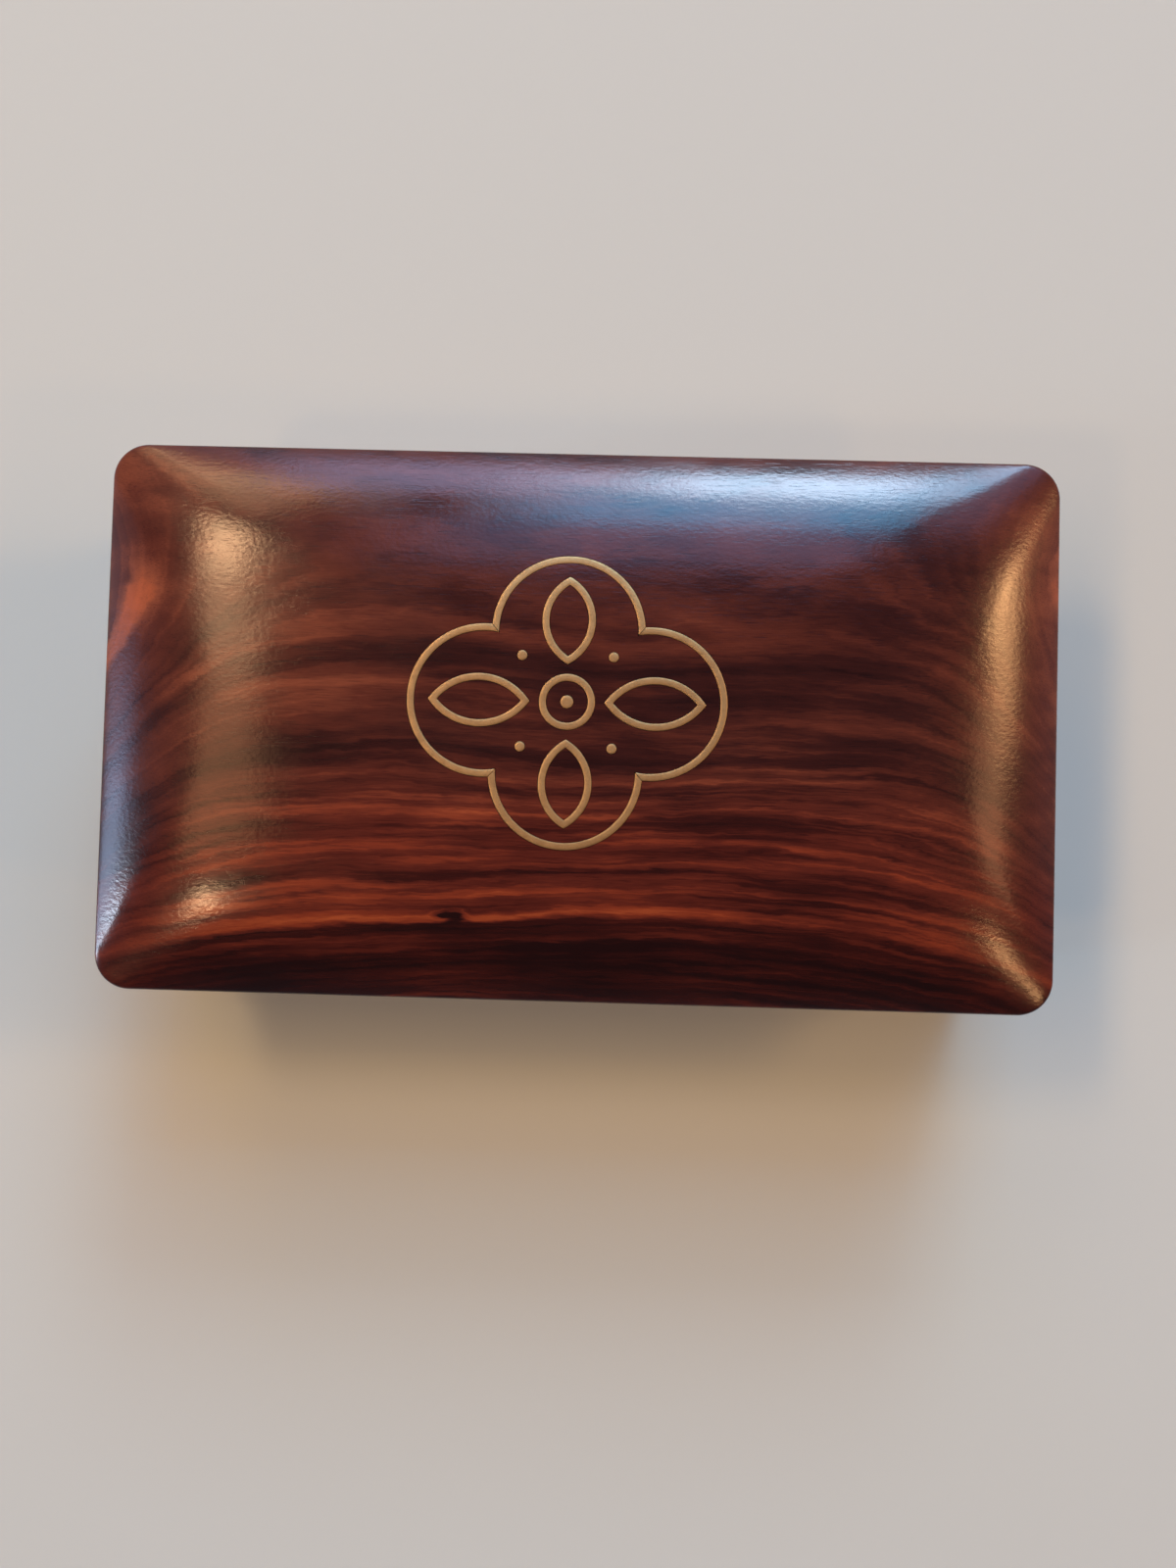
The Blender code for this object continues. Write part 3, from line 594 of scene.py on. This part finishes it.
def spline_cutter():
    mesh = bmesh.new()
    for side_x in SIDES.values():
        for side_y in DEPTHS.values():
            add_spline(mesh, side_x, side_y, GLUE_LINE, WALL_HEIGHT + CUT_OVERRUN)
    return new_object("cutter_splines", mesh)


def make_wall(name, half_run, out, turn, material):
    levels = []
    for i in range(ROUND_STEPS + 1):
        bend = math.pi / 2 * i / ROUND_STEPS
        levels.append((WALL_FOOT_ROUND * (1 - math.cos(bend)), WALL_FOOT_ROUND * (1 - math.sin(bend))))
    for i in range(ROUND_STEPS + 1):
        bend = math.pi / 2 * i / ROUND_STEPS
        z = WALL_HEIGHT - WALL_RIM_ROUND * (1 - math.sin(bend))
        levels.append((z, WALL_RIM_ROUND * (1 - math.cos(bend))))
    mesh = bmesh.new()
    add_loft(mesh, [[(x, y, z) for x, y in wall_outline(half_run, out, e)] for z, e in levels])
    bmesh.ops.rotate(mesh, verts=mesh.verts, matrix=Matrix.Rotation(turn, 3, "Z"))
    wall = new_object(f"fine_{name}", mesh)
    cutters = [groove_for_floor(), spline_cutter()]
    if name == "back_wall":
        cutters += [mortise_cutter(-1), screw_cutter(-1)]
    cut(wall, *cutters)
    smooth(wall)
    place(wall, "box", "rosewood", material, name)


def make_floor_and_splines(panel_wood, spline_wood):
    mesh = bmesh.new()
    half_x = INNER_HALF_LENGTH + BOTTOM_TONGUE
    half_y = INNER_HALF_WIDTH + BOTTOM_TONGUE
    top = BOTTOM_RAISE + BOTTOM_THICKNESS
    add_prism_z(mesh, rectangle(-half_x, -half_y, half_x, half_y), BOTTOM_RAISE, top)
    floor = new_object("fine_bottom_panel", mesh)
    smooth(floor)
    place(floor, "box", "panel_wood", panel_wood, "bottom_panel")
    for depth, side_y in DEPTHS.items():
        for side, side_x in SIDES.items():
            mesh = bmesh.new()
            add_spline(mesh, side_x, side_y, 0, WALL_HEIGHT)
            spline = new_object(f"fine_spline_{depth}_{side}", mesh)
            smooth(spline)
            place(spline, "box", "spline_wood", spline_wood, f"spline_{depth}_{side}")


# Materials

# Millimetres in a metre, and the middle of a noise's values
MM = 1000
NOISE_MIDDLE = 0.5


class Tree:
    """The node tree of a material or a world, built with short calls. Numbers set a socket and
    sockets link to it."""

    def __init__(self, owner, shader="Principled BSDF"):
        owner.use_nodes = True
        self.owner = owner
        self.tree = owner.node_tree
        self.shader = self.tree.nodes[shader]

    def feed(self, socket, value):
        if isinstance(value, bpy.types.NodeSocket):
            self.tree.links.new(value, socket)
        else:
            socket.default_value = value

    def add(self, kind, inputs, **settings):
        made = self.tree.nodes.new(kind)
        for key, value in settings.items():
            setattr(made, key, value)
        for key, value in inputs.items():
            self.feed(made.inputs[key], value)
        return made

    def maths(self, operation, *values):
        return self.add("ShaderNodeMath", dict(enumerate(values)), operation=operation).outputs[0]

    def plus(self, one, other):
        return self.maths("ADD", one, other)

    def minus(self, one, other):
        return self.maths("SUBTRACT", one, other)

    def times(self, one, other):
        return self.maths("MULTIPLY", one, other)

    def vector(self, operation, *values):
        made = self.add("ShaderNodeVectorMath", dict(enumerate(values)), operation=operation)
        return made.outputs["Value" if operation in ("LENGTH", "DOT_PRODUCT") else "Vector"]

    def moved(self, vector, shift, reach):
        return self.vector("ADD", vector, self.vector("MULTIPLY", shift, reach))

    def from_pith(self, vector):
        """Distance from the log's centre line, which runs along X."""
        return self.vector("LENGTH", self.vector("MULTIPLY", vector, (0, 1, 1)))

    def combine(self, x, y, z):
        return self.add("ShaderNodeCombineXYZ", {"X": x, "Y": y, "Z": z}).outputs[0]

    def separate(self, vector):
        return self.add("ShaderNodeSeparateXYZ", {"Vector": vector}).outputs

    def coordinates(self, output):
        return self.add("ShaderNodeTexCoord", {}).outputs[output]

    def millimetres(self, metres):
        return self.vector("MULTIPLY", metres, (MM, MM, MM))

    def noise(self, vector, stretch, detail, roughness, output="Fac"):
        scaled = self.vector("MULTIPLY", vector, stretch)
        inputs = {"Vector": scaled, "Scale": 1.0, "Detail": detail, "Roughness": roughness}
        return self.add("ShaderNodeTexNoise", inputs, noise_dimensions="3D").outputs[output]

    def wander(self, vector, *noise):
        """A noise's shift to all sides."""
        middle = (NOISE_MIDDLE, NOISE_MIDDLE, NOISE_MIDDLE)
        return self.vector("SUBTRACT", self.noise(vector, *noise, "Color"), middle)

    def span(self, kind, value, low, high, to_low=0.0, to_high=1.0):
        inputs = {"Value": value, "From Min": low, "From Max": high}
        inputs |= {"To Min": to_low, "To Max": to_high}
        return self.add("ShaderNodeMapRange", inputs, interpolation_type=kind).outputs["Result"]

    def ease(self, value, *stops):
        return self.span("SMOOTHSTEP", value, *stops)

    def line(self, value, *stops):
        return self.span("LINEAR", value, *stops)

    def ramp(self, value, stops):
        made = self.add("ShaderNodeValToRGB", {"Fac": value})
        band = made.color_ramp
        band.interpolation = "LINEAR"
        while len(band.elements) < len(stops):
            band.elements.new(1.0)
        for element, (place_share, colour) in zip(band.elements, stops):
            element.position = place_share
            element.color = (*colour, 1) if isinstance(colour, tuple) else (colour, colour, colour, 1)
        return made.outputs["Color"]

    def mix(self, factor, one, other):
        made = self.add("ShaderNodeMix", {"Factor": factor}, data_type="RGBA", blend_type="MIX")
        self.feed(made.inputs["A"], one)
        self.feed(made.inputs["B"], other)
        return made.outputs["Result"]

    def bump(self, height, distance, normal=None):
        inputs = {"Height": height, "Distance": distance, "Strength": 1.0}
        if normal is not None:
            inputs["Normal"] = normal
        return self.add("ShaderNodeBump", inputs).outputs["Normal"]

    def finish(self, **sockets):
        for key, value in sockets.items():
            self.feed(self.shader.inputs[key.replace("_", " ")], value)
        return self.owner


# The log's layers by their distance in millimetres from the pith: how light each is, from 0 to 1
LOG_NEAR = 32
LOG_FAR = 96
LAYERS = (
    (32, 0.64), (36.5, 0.60), (38.5, 0.42), (41, 0.36), (43.5, 0.40), (46.6, 0.46),
    (49, 0.34), (53, 0.38), (56, 0.31), (61, 0.35), (66, 0.44), (70, 0.35), (73.5, 0.47), (76.5, 0.41),
    (79.5, 0.49), (81.2, 0.53), (82, 0.71), (83, 0.71), (84.0, 0.23), (88, 0.14), (96, 0.17),
)
BROWN_TONES = (
    (0.0, (0.012, 0.003, 0.003)), (0.25, (0.034, 0.008, 0.006)), (0.5, (0.092, 0.022, 0.012)),
    (0.75, (0.21, 0.058, 0.026)), (1.0, (0.40, 0.10, 0.035)),
)
RED_TONES = (
    (0.0, (0.014, 0.003, 0.0025)), (0.25, (0.036, 0.006, 0.004)), (0.5, (0.096, 0.017, 0.009)),
    (0.75, (0.21, 0.038, 0.014)), (1.0, (0.36, 0.085, 0.026)),
)

# Noises: repeats per millimetre along the board, across it and up, then detail and roughness. Streaks
# and thin lines go by the place along the board and by the distance from the pith.
SLOW_BEND = ((0.010, 0.02, 0.02), 2.0, 0.5)
QUICK_BEND = ((0.04, 0.2, 0.2), 4.0, 0.62)
RAGGED_EDGE = ((0.22, 1.2, 1.2), 2.0, 0.5)
STREAK = ((0.008, 0.40, 1), 2.0, 0.55)
THIN_LINE = ((0.024, 0.95, 1), 3.0, 0.6)
CLOUD = ((0.025, 0.08, 0.08), 3.0, 0.6)
FIBRE = ((0.22, 5.5, 5.5), 3.0, 0.6)
PORE = ((0.16, 3.4, 3.4), 2.0, 0.5)
WORN_PATCH = ((0.05, 0.05, 0.05), 4.0, 0.6)
SMEAR = ((0.8, 1.3, 1.3), 2.0, 0.5)
TARNISH = ((0.35, 0.35, 0.35), 4.0, 0.65)
SPECK = ((2.6, 2.6, 2.6), 3.0, 0.6)
SCRATCH_STRETCH = (0.5, 8.0, 8.0)
SCRATCH_DETAIL = (3.0, 0.6)

# How far the layers are moved, in millimetres
SLOW_BEND_REACH = (0, 9, 9)
QUICK_BEND_REACH = (0, 2.0, 2.0)
ORANGE_BEND_REACH = (0, 3.0, 3.0)
KNOT_BEND_REACH = (9, 5, 5)
RAGGED_EDGE_REACH = 0.9
KNOT_REACH = 2.0

# The layers droop towards the board's ends: by DROOP_REACH at DROOP_PLACE from the middle, in
# millimetres, with this power of the distance, and at most DROOP_LIMIT times as far
DROOP_PLACE = 100
DROOP_REACH = 6.0
DROOP_POWER = 4.0
DROOP_LIMIT = 1.2

# Changes from one value to another: where they start and end, then the values there, 0 and 1 if they
# aren't given. Ends are by the distance from the board's middle, and layers by that from the pith.
CALM_ENDS = (72, 98, 0.0, 0.55)
LIVELY_LAYERS = (50, 68, 0.52, 0.86)
LIVELY_ENDS = (70, 96, 1.0, 0.4)
DRIFT = (25, 85, -0.10, 0.06)
DRIFT_LAYERS = (50, 62, 1.0, 0.0)
LEFT_SHADE = (-98, -80, -0.13, 0.0)
LEFT_SHADE_FIRST_LAYERS = (38, 46)
LEFT_SHADE_LAST_LAYERS = (64, 74, 1.0, 0.0)
RED_LAYERS = (56, 72)
GRAIN_ENDS = (74, 92, 1.0, 0.25)
KNOT_EDGE = (0.1, 1.1, 1.0, 0.0)
PORE_EDGE = (0.60, 0.70)
PATCH_EDGE = (0.3, 0.7)
TARNISH_EDGE = (0.38, 0.66)
SPECK_EDGE = (0.55, 0.75, 0.0, 0.45)

# Orange layers that the carved ends lay bare: the distance from the pith, where they start and end
# towards the left and across the board, half their width, and how much lighter they are
ORANGE_LAYERS = ((39.2, (84, 91), (4, -3), 2.4, 0.302), (35.3, (-90, -96), (-7, 0), 1.0, 0.19))
ORANGE_CORE_SHARE = 1 / 3

# The tone near the ends, and how much lighter or darker each thing makes the wood. The slow drift
# starts from DRIFT_MIDDLE along the board, and the knot is stretched along the grain.
CALM_TONE = 0.42
DRIFT_MIDDLE = 25
STREAK_STRENGTH = 1.3
THIN_LINE_STRENGTH = 1.1
CLOUD_STRENGTH = 0.7
FIBRE_STRENGTH = 0.22
PORE_STRENGTH = 0.10
KNOT_STRENGTH = 0.5
KNOT_STRETCH = (0.20, 0.55, 0.2)

# The polish, with heights in metres
POLISHED_ROUGHNESS = 0.15
WORN_ROUGHNESS = 0.23
PORE_ROUGHNESS = 0.03
POLISH_IOR = 1.46
SMEAR_HEIGHT = 0.00003
GRAIN_HEIGHT = 0.000005
FIBRE_HEIGHT_SHARE = 0.35

# The brass
TARNISH_TINT = (0.5, 0.42, 0.38)
TARNISH_ROUGHNESS = 0.25
SCRATCH_ROUGHNESS = 0.12
BRASS_ROUGHNESS_OFFSET = -0.12
BRASS_BUMP_HEIGHT = 0.00003


def make_rosewood(name, pith, turn=0.0, gloss=1.0, light=0.0, seed=0.0, knot=None):
    """Wood cut from a log of coloured layers, solid through the board. pith is where the log's centre
    line passes, in millimetres across the board, and turn sets the way that the grain runs. seed is
    the board's place along the log, so that no two boards show the same wood."""
    tree = Tree(bpy.data.materials.new(name))
    turned = {"Vector": tree.coordinates("Object"), "Angle": turn}
    turned = tree.add("ShaderNodeVectorRotate", turned, rotation_type="Z_AXIS").outputs[0]
    board = tree.vector("ADD", tree.millimetres(turned), (seed, -pith[0], -pith[1]))
    along, across, _ = tree.separate(board)
    from_middle = tree.minus(along, seed)
    end_near = tree.maths("ABSOLUTE", from_middle)

    # The layers wander: slowly along the log, and a little from fibre to fibre
    slow = tree.wander(board, *SLOW_BEND)
    quick = tree.wander(board, *QUICK_BEND)
    bent = tree.moved(tree.moved(board, slow, SLOW_BEND_REACH), quick, QUICK_BEND_REACH)
    droop = tree.maths("POWER", tree.maths("DIVIDE", from_middle, DROOP_PLACE), DROOP_POWER)
    droop = tree.times(tree.maths("MINIMUM", droop, DROOP_LIMIT), DROOP_REACH)
    radius = tree.minus(tree.from_pith(bent), droop)
    ragged = tree.minus(tree.noise(board, *RAGGED_EDGE), NOISE_MIDDLE)
    radius = tree.plus(radius, tree.times(ragged, RAGGED_EDGE_REACH))
    if knot:
        offset = (-knot[0] - seed, pith[0] - knot[1], pith[1] - knot[2])
        offset = tree.vector("ADD", tree.moved(board, quick, KNOT_BEND_REACH), offset)
        near_knot = tree.vector("LENGTH", tree.vector("MULTIPLY", offset, KNOT_STRETCH))
        near_knot = tree.ease(near_knot, *KNOT_EDGE)
        radius = tree.plus(radius, tree.times(near_knot, KNOT_REACH))

    # The layers' tones, calmer near the board's ends, and the orange layers there
    share = tree.maths("DIVIDE", tree.minus(radius, LOG_NEAR), LOG_FAR - LOG_NEAR)
    stops = [((r - LOG_NEAR) / (LOG_FAR - LOG_NEAR), tone) for r, tone in LAYERS]
    tone = tree.separate(tree.ramp(share, stops))[0]
    calm = tree.ease(end_near, *CALM_ENDS)
    tone = tree.plus(tone, tree.times(calm, tree.minus(CALM_TONE, tone)))
    end_radius = tree.from_pith(tree.moved(board, quick, ORANGE_BEND_REACH))
    leftward = tree.minus(seed, along)
    for middle, ends, sides, half_width, strength in ORANGE_LAYERS:
        apart = tree.maths("ABSOLUTE", tree.minus(end_radius, middle))
        bright = tree.ease(apart, half_width * ORANGE_CORE_SHARE, half_width, strength, 0.0)
        here = tree.times(tree.ease(leftward, *ends), tree.ease(across, *sides))
        tone = tree.plus(tone, tree.times(bright, here))

    # Slow changes along the layers
    drift = tree.ease(tree.maths("ABSOLUTE", tree.minus(along, seed + DRIFT_MIDDLE)), *DRIFT)
    tone = tree.plus(tone, tree.times(drift, tree.ease(radius, *DRIFT_LAYERS)))
    left_shade = tree.ease(from_middle, *LEFT_SHADE)
    left_shade = tree.times(left_shade, tree.ease(radius, *LEFT_SHADE_FIRST_LAYERS))
    left_shade = tree.times(left_shade, tree.ease(radius, *LEFT_SHADE_LAST_LAYERS))
    tone = tree.plus(tone, left_shade)

    # Streaks that come and go along the log, thin dark lines, and a soft cloud
    sheet = tree.combine(along, radius, 0.0)
    lively = tree.times(tree.ease(radius, *LIVELY_LAYERS), tree.ease(end_near, *LIVELY_ENDS))
    for noise, strength in ((STREAK, STREAK_STRENGTH), (THIN_LINE, THIN_LINE_STRENGTH)):
        streak = tree.times(tree.minus(tree.noise(sheet, *noise), NOISE_MIDDLE), lively)
        tone = tree.plus(tone, tree.times(streak, strength))
    cloud = tree.minus(tree.noise(board, *CLOUD), NOISE_MIDDLE)
    tone = tree.plus(tone, tree.times(cloud, CLOUD_STRENGTH))

    # Fibres and pores, long along the grain
    fibre = tree.noise(board, *FIBRE)
    pore = tree.ease(tree.noise(board, *PORE), *PORE_EDGE)
    tone = tree.plus(tone, tree.times(tree.minus(fibre, NOISE_MIDDLE), FIBRE_STRENGTH))
    tone = tree.minus(tone, tree.times(pore, PORE_STRENGTH))
    tone = tree.plus(tone, light)
    if knot:
        tone = tree.minus(tone, tree.times(near_knot, KNOT_STRENGTH))
    redness = tree.ease(radius, *RED_LAYERS)
    colour = tree.mix(redness, tree.ramp(tone, BROWN_TONES), tree.ramp(tone, RED_TONES))

    # The polish: even, with worn patches, and open where the pores are
    patch = tree.noise(board, *WORN_PATCH)
    roughness = tree.line(patch, *PATCH_EDGE, POLISHED_ROUGHNESS / gloss, WORN_ROUGHNESS / gloss)
    roughness = tree.plus(roughness, tree.times(pore, PORE_ROUGHNESS))
    ripple = tree.bump(tree.noise(board, *SMEAR), SMEAR_HEIGHT)
    grain = tree.minus(tree.times(fibre, FIBRE_HEIGHT_SHARE), pore)
    grain = tree.times(grain, tree.ease(end_near, *GRAIN_ENDS))
    normal = tree.bump(grain, GRAIN_HEIGHT, ripple)
    return tree.finish(Base_Color=colour, Roughness=roughness, Normal=normal, IOR=POLISH_IOR)


def make_brass(name, colour, roughness, metallic, dull, scratch=SCRATCH_STRETCH):
    """Brass with darker tarnish in patches, fine scratches and small dents."""
    tree = Tree(bpy.data.materials.new(name))
    metal = tree.millimetres(tree.coordinates("Object"))
    patch = tree.noise(metal, *TARNISH)
    speck = tree.noise(metal, *SPECK)
    scratches = tree.noise(metal, scratch, *SCRATCH_DETAIL)
    dark = (*(c * k for c, k in zip(colour, TARNISH_TINT)), 1)
    base = tree.mix(tree.ease(patch, *TARNISH_EDGE, 0.0, dull), (*colour, 1), dark)
    base = tree.mix(tree.line(speck, *SPECK_EDGE), base, dark)
    rough = tree.plus(tree.times(patch, TARNISH_ROUGHNESS), roughness + BRASS_ROUGHNESS_OFFSET)
    rough = tree.plus(rough, tree.times(scratches, SCRATCH_ROUGHNESS))
    normal = tree.bump(speck, BRASS_BUMP_HEIGHT, tree.bump(scratches, BRASS_BUMP_HEIGHT))
    return tree.finish(Base_Color=base, Roughness=rough, Normal=normal, Metallic=metallic)


# Floor, light and camera

FLOOR_REACH = 3.0
FLOOR_COLOUR = (0.52, 0.585, 0.54)
FLOOR_ROUGHNESS = 0.9

# The world's glow: a little everywhere, and more in a band that starts over the horizon and fades
# with height, which is brighter on the window's side
WORLD_COLOUR = (0.80, 0.95, 1.2)
WORLD_GLOW = 0.06
WORLD_BAND = (0.06, 0.5, 0.42, 0.0)
WORLD_WINDOW = (-0.5, 0.87, 0.0)
WORLD_WINDOW_SIDE = (-0.7, 0.7, 0.2, 1.0)

# Each lamp: its direction from the lid, what its first side runs along, its distance, its sides, its
# power and its colour
LAMPS_AIM = Vector((0, 0, 0.055))
ALONG_Y = (0, 1, 0)
ALONG_X = (1, 0, 0)
WARM = (1.0, 0.59, 0.31)
AMBER = (1.0, 0.47, 0.22)
GOLD = (1.0, 0.52, 0.22)
LAMPS = (
    ("left_end", (-0.90, 2.05, 1), ALONG_Y, 2.0, (0.30, 0.30), 1.2, WARM),
    ("left_far", (-0.80, 1.50, 1), ALONG_Y, 2.0, (0.60, 0.55), 4.1, WARM),
    ("left_core", (-0.685, 0.60, 1), ALONG_Y, 2.0, (0.50, 0.28), 11.6, WARM),
    ("left_upper", (-0.64, 0.27, 1), ALONG_Y, 2.0, (0.34, 0.40), 3.6, WARM),
    ("left_middle", (-0.66, -0.06, 1), ALONG_Y, 2.0, (0.66, 0.60), 4.8, AMBER),
    ("left_spot", (-0.70, -0.51, 1), ALONG_Y, 2.0, (0.18, 0.16), 4.0, WARM),
    ("right_core", (1.38, 0.48, 1), ALONG_Y, 2.0, (0.34, 0.28), 6.8, GOLD),
    ("right_upper", (1.60, 0.36, 1), ALONG_Y, 2.0, (0.44, 0.36), 6.0, GOLD),
    ("right_middle", (1.25, -0.08, 1), ALONG_Y, 2.0, (0.54, 0.44), 3.1, AMBER),
    ("right_spot", (1.09, -0.65, 1), ALONG_Y, 2.0, (0.18, 0.17), 2.9, GOLD),
    ("window", (0.151, 0.919, 0.395), ALONG_X, 10.0, (2.2, 2.2), 425, (0.56, 0.76, 1.0)),
    ("window_right", (0.337, 0.868, 0.395), ALONG_X, 10.0, (2.0, 2.2), 195, (0.40, 0.68, 1.0)),
    ("window_edge", (0.467, 0.719, 0.515), ALONG_X, 10.0, (2.4, 4.4), 46, (0.36, 0.52, 1.0)),
    ("window_side", (-0.01, 0.93, 0.395), ALONG_X, 10.0, (1.2, 2.2), 76, (0.56, 0.68, 1.0)),
    ("window_left", (-0.16, 0.915, 0.37), ALONG_X, 10.0, (2.4, 3.0), 110, (0.60, 0.60, 1.0)),
    ("window_sky", (0.11, 0.79, 0.60), ALONG_X, 10.0, (3.8, 2.4), 275, (0.14, 0.56, 1.0)),
    ("window_high", (0.05, 0.62, 0.78), ALONG_X, 10.0, (4.2, 3.0), 95, (0.34, 0.52, 1.0)),
    ("left_gleam", (-0.946, -0.183, 0.267), ALONG_Y, 4.8, (0.50, 0.80), 34, (0.68, 0.82, 1.0)),
    ("left_low", (-0.979, -0.068, 0.17), ALONG_Y, 4.8, (0.84, 0.95), 14, (0.50, 0.68, 1.0)),
    ("left_dim", (-0.98, 0.034, 0.19), ALONG_Y, 4.8, (0.80, 1.4), 7, (0.40, 0.58, 1.0)),
)

# The camera, with its focal length as a share of the picture's height
CAMERA_PLACE = (0.00654, -0.02029, 0.29028)
CAMERA_RIGHT = (0.99951, 0.02744, -0.01488)
CAMERA_FORWARD = (-0.01576, 0.03212, -0.99936)
FOCAL_SHARE = 1202 / 1600
SENSOR_SIDE = 36
CLIP_START = 0.01
CLIP_END = 20


def make_stage():
    mesh = bmesh.new()
    corners = rectangle(-FLOOR_REACH, -FLOOR_REACH, FLOOR_REACH, FLOOR_REACH)
    mesh.faces.new([mesh.verts.new((x, y, 0)) for x, y in corners])
    floor = new_object("stage_floor", mesh)
    tree = Tree(bpy.data.materials.new("stage_pale"))
    floor.data.materials.append(tree.finish(Base_Color=(*FLOOR_COLOUR, 1), Roughness=FLOOR_ROUGHNESS))


def make_world():
    world = bpy.data.worlds.new("studio")
    bpy.context.scene.world = world
    tree = Tree(world, "Background")
    towards = tree.coordinates("Generated")
    _, _, up = tree.separate(towards)
    window_side = tree.line(tree.vector("DOT_PRODUCT", towards, WORLD_WINDOW), *WORLD_WINDOW_SIDE)
    glow = tree.maths("MULTIPLY_ADD", tree.ease(up, *WORLD_BAND), window_side, WORLD_GLOW)
    tree.finish(Color=(*WORLD_COLOUR, 1), Strength=glow)


def add_lamp(name, direction, long_way, distance, size, power, colour):
    """A rectangle that faces the lid from this direction, its first side along long_way."""
    data = bpy.data.lights.new(name, "AREA")
    data.shape = "RECTANGLE"
    data.size, data.size_y = size
    data.energy = power
    data.color = colour
    lamp = bpy.data.objects.new(name, data)
    bpy.context.scene.collection.objects.link(lamp)
    away = Vector(direction).normalized()
    side = (Vector(long_way) - away * away.dot(Vector(long_way))).normalized()
    matrix = Matrix((side, away.cross(side), away)).transposed().to_4x4()
    matrix.translation = LAMPS_AIM + away * distance
    lamp.matrix_world = matrix
    lamp.visible_camera = False


def make_camera():
    data = bpy.data.cameras.new("camera")
    data.sensor_fit = "AUTO"
    data.sensor_width = SENSOR_SIDE
    data.lens = SENSOR_SIDE * FOCAL_SHARE
    data.clip_start, data.clip_end = CLIP_START, CLIP_END
    camera = bpy.data.objects.new("camera", data)
    bpy.context.scene.collection.objects.link(camera)
    right = Vector(CAMERA_RIGHT).normalized()
    back = -Vector(CAMERA_FORWARD)
    back = (back - right * back.dot(right)).normalized()
    matrix = Matrix((right, back.cross(right), back)).transposed().to_4x4()
    matrix.translation = CAMERA_PLACE
    camera.matrix_world = matrix
    bpy.context.scene.camera = camera


# The boards, with the places of the pith and of the lid's knot in millimetres
ACROSS = math.radians(-90)
DIAGONAL = math.radians(45)
LID_PITH = (31, 6.0)
LID_KNOT = (-24.6, -39.9, 49.5)
lid_wood = make_rosewood("rosewood_lid", LID_PITH, knot=LID_KNOT)
lid_inside = make_rosewood("rosewood_lid_inside", LID_PITH, gloss=0.72, light=0.04)
front_wood = make_rosewood("rosewood_front", (-10, 80), gloss=0.95, seed=310)
back_wood = make_rosewood("rosewood_back", (14, 88), gloss=0.95, seed=620)
left_wood = make_rosewood("rosewood_left", (-52, 78), ACROSS, gloss=0.95, seed=930)
right_wood = make_rosewood("rosewood_right", (50, 84), ACROSS, gloss=0.95, seed=1240)
panel_wood = make_rosewood("panel_wood", (20, -62), gloss=0.7, light=0.16, seed=1550)
spline_wood = make_rosewood("spline_wood", (0, -30), DIAGONAL, gloss=0.8, light=0.3, seed=1860)

# Each brass: its colour, roughness, share of metal, tarnish, and its scratches' stretch
inlay_brass = make_brass("inlay_brass", (0.44, 0.29, 0.125), 0.46, 0.75, 0.35, (1.8, 1.8, 1.8))
hinge_brass = make_brass("hinge_brass", (0.60, 0.41, 0.17), 0.34, 1.0, 0.6)
pin_brass = make_brass("pin_brass", (0.52, 0.34, 0.14), 0.30, 1.0, 0.5)
screw_brass = make_brass("screw_brass", (0.64, 0.46, 0.20), 0.28, 1.0, 0.4, (6.0, 0.8, 0.8))

make_lid(lid_wood, lid_inside)
make_wires(inlay_brass)
make_wall("front_wall", BODY_HALF_LENGTH, BODY_HALF_WIDTH, 0, front_wood)
make_wall("right_wall", BODY_HALF_WIDTH, BODY_HALF_LENGTH, math.pi / 2, right_wood)
make_wall("back_wall", BODY_HALF_LENGTH, BODY_HALF_WIDTH, math.pi, back_wood)
make_wall("left_wall", BODY_HALF_WIDTH, BODY_HALF_LENGTH, -math.pi / 2, left_wood)
make_floor_and_splines(panel_wood, spline_wood)

for node_name, thing in nodes.items():
    for word, brass in (("_leaf", hinge_brass), ("_pin", pin_brass), ("screw_", screw_brass)):
        if word in node_name and not node_name.startswith("inlay"):
            thing.data.materials.clear()
            thing.data.materials.append(brass)

make_stage()
make_world()
for lamp_name, *settings in LAMPS:
    add_lamp(f"lamp_{lamp_name}", *settings)
make_camera()
bpy.context.scene.view_settings.view_transform = "Standard"
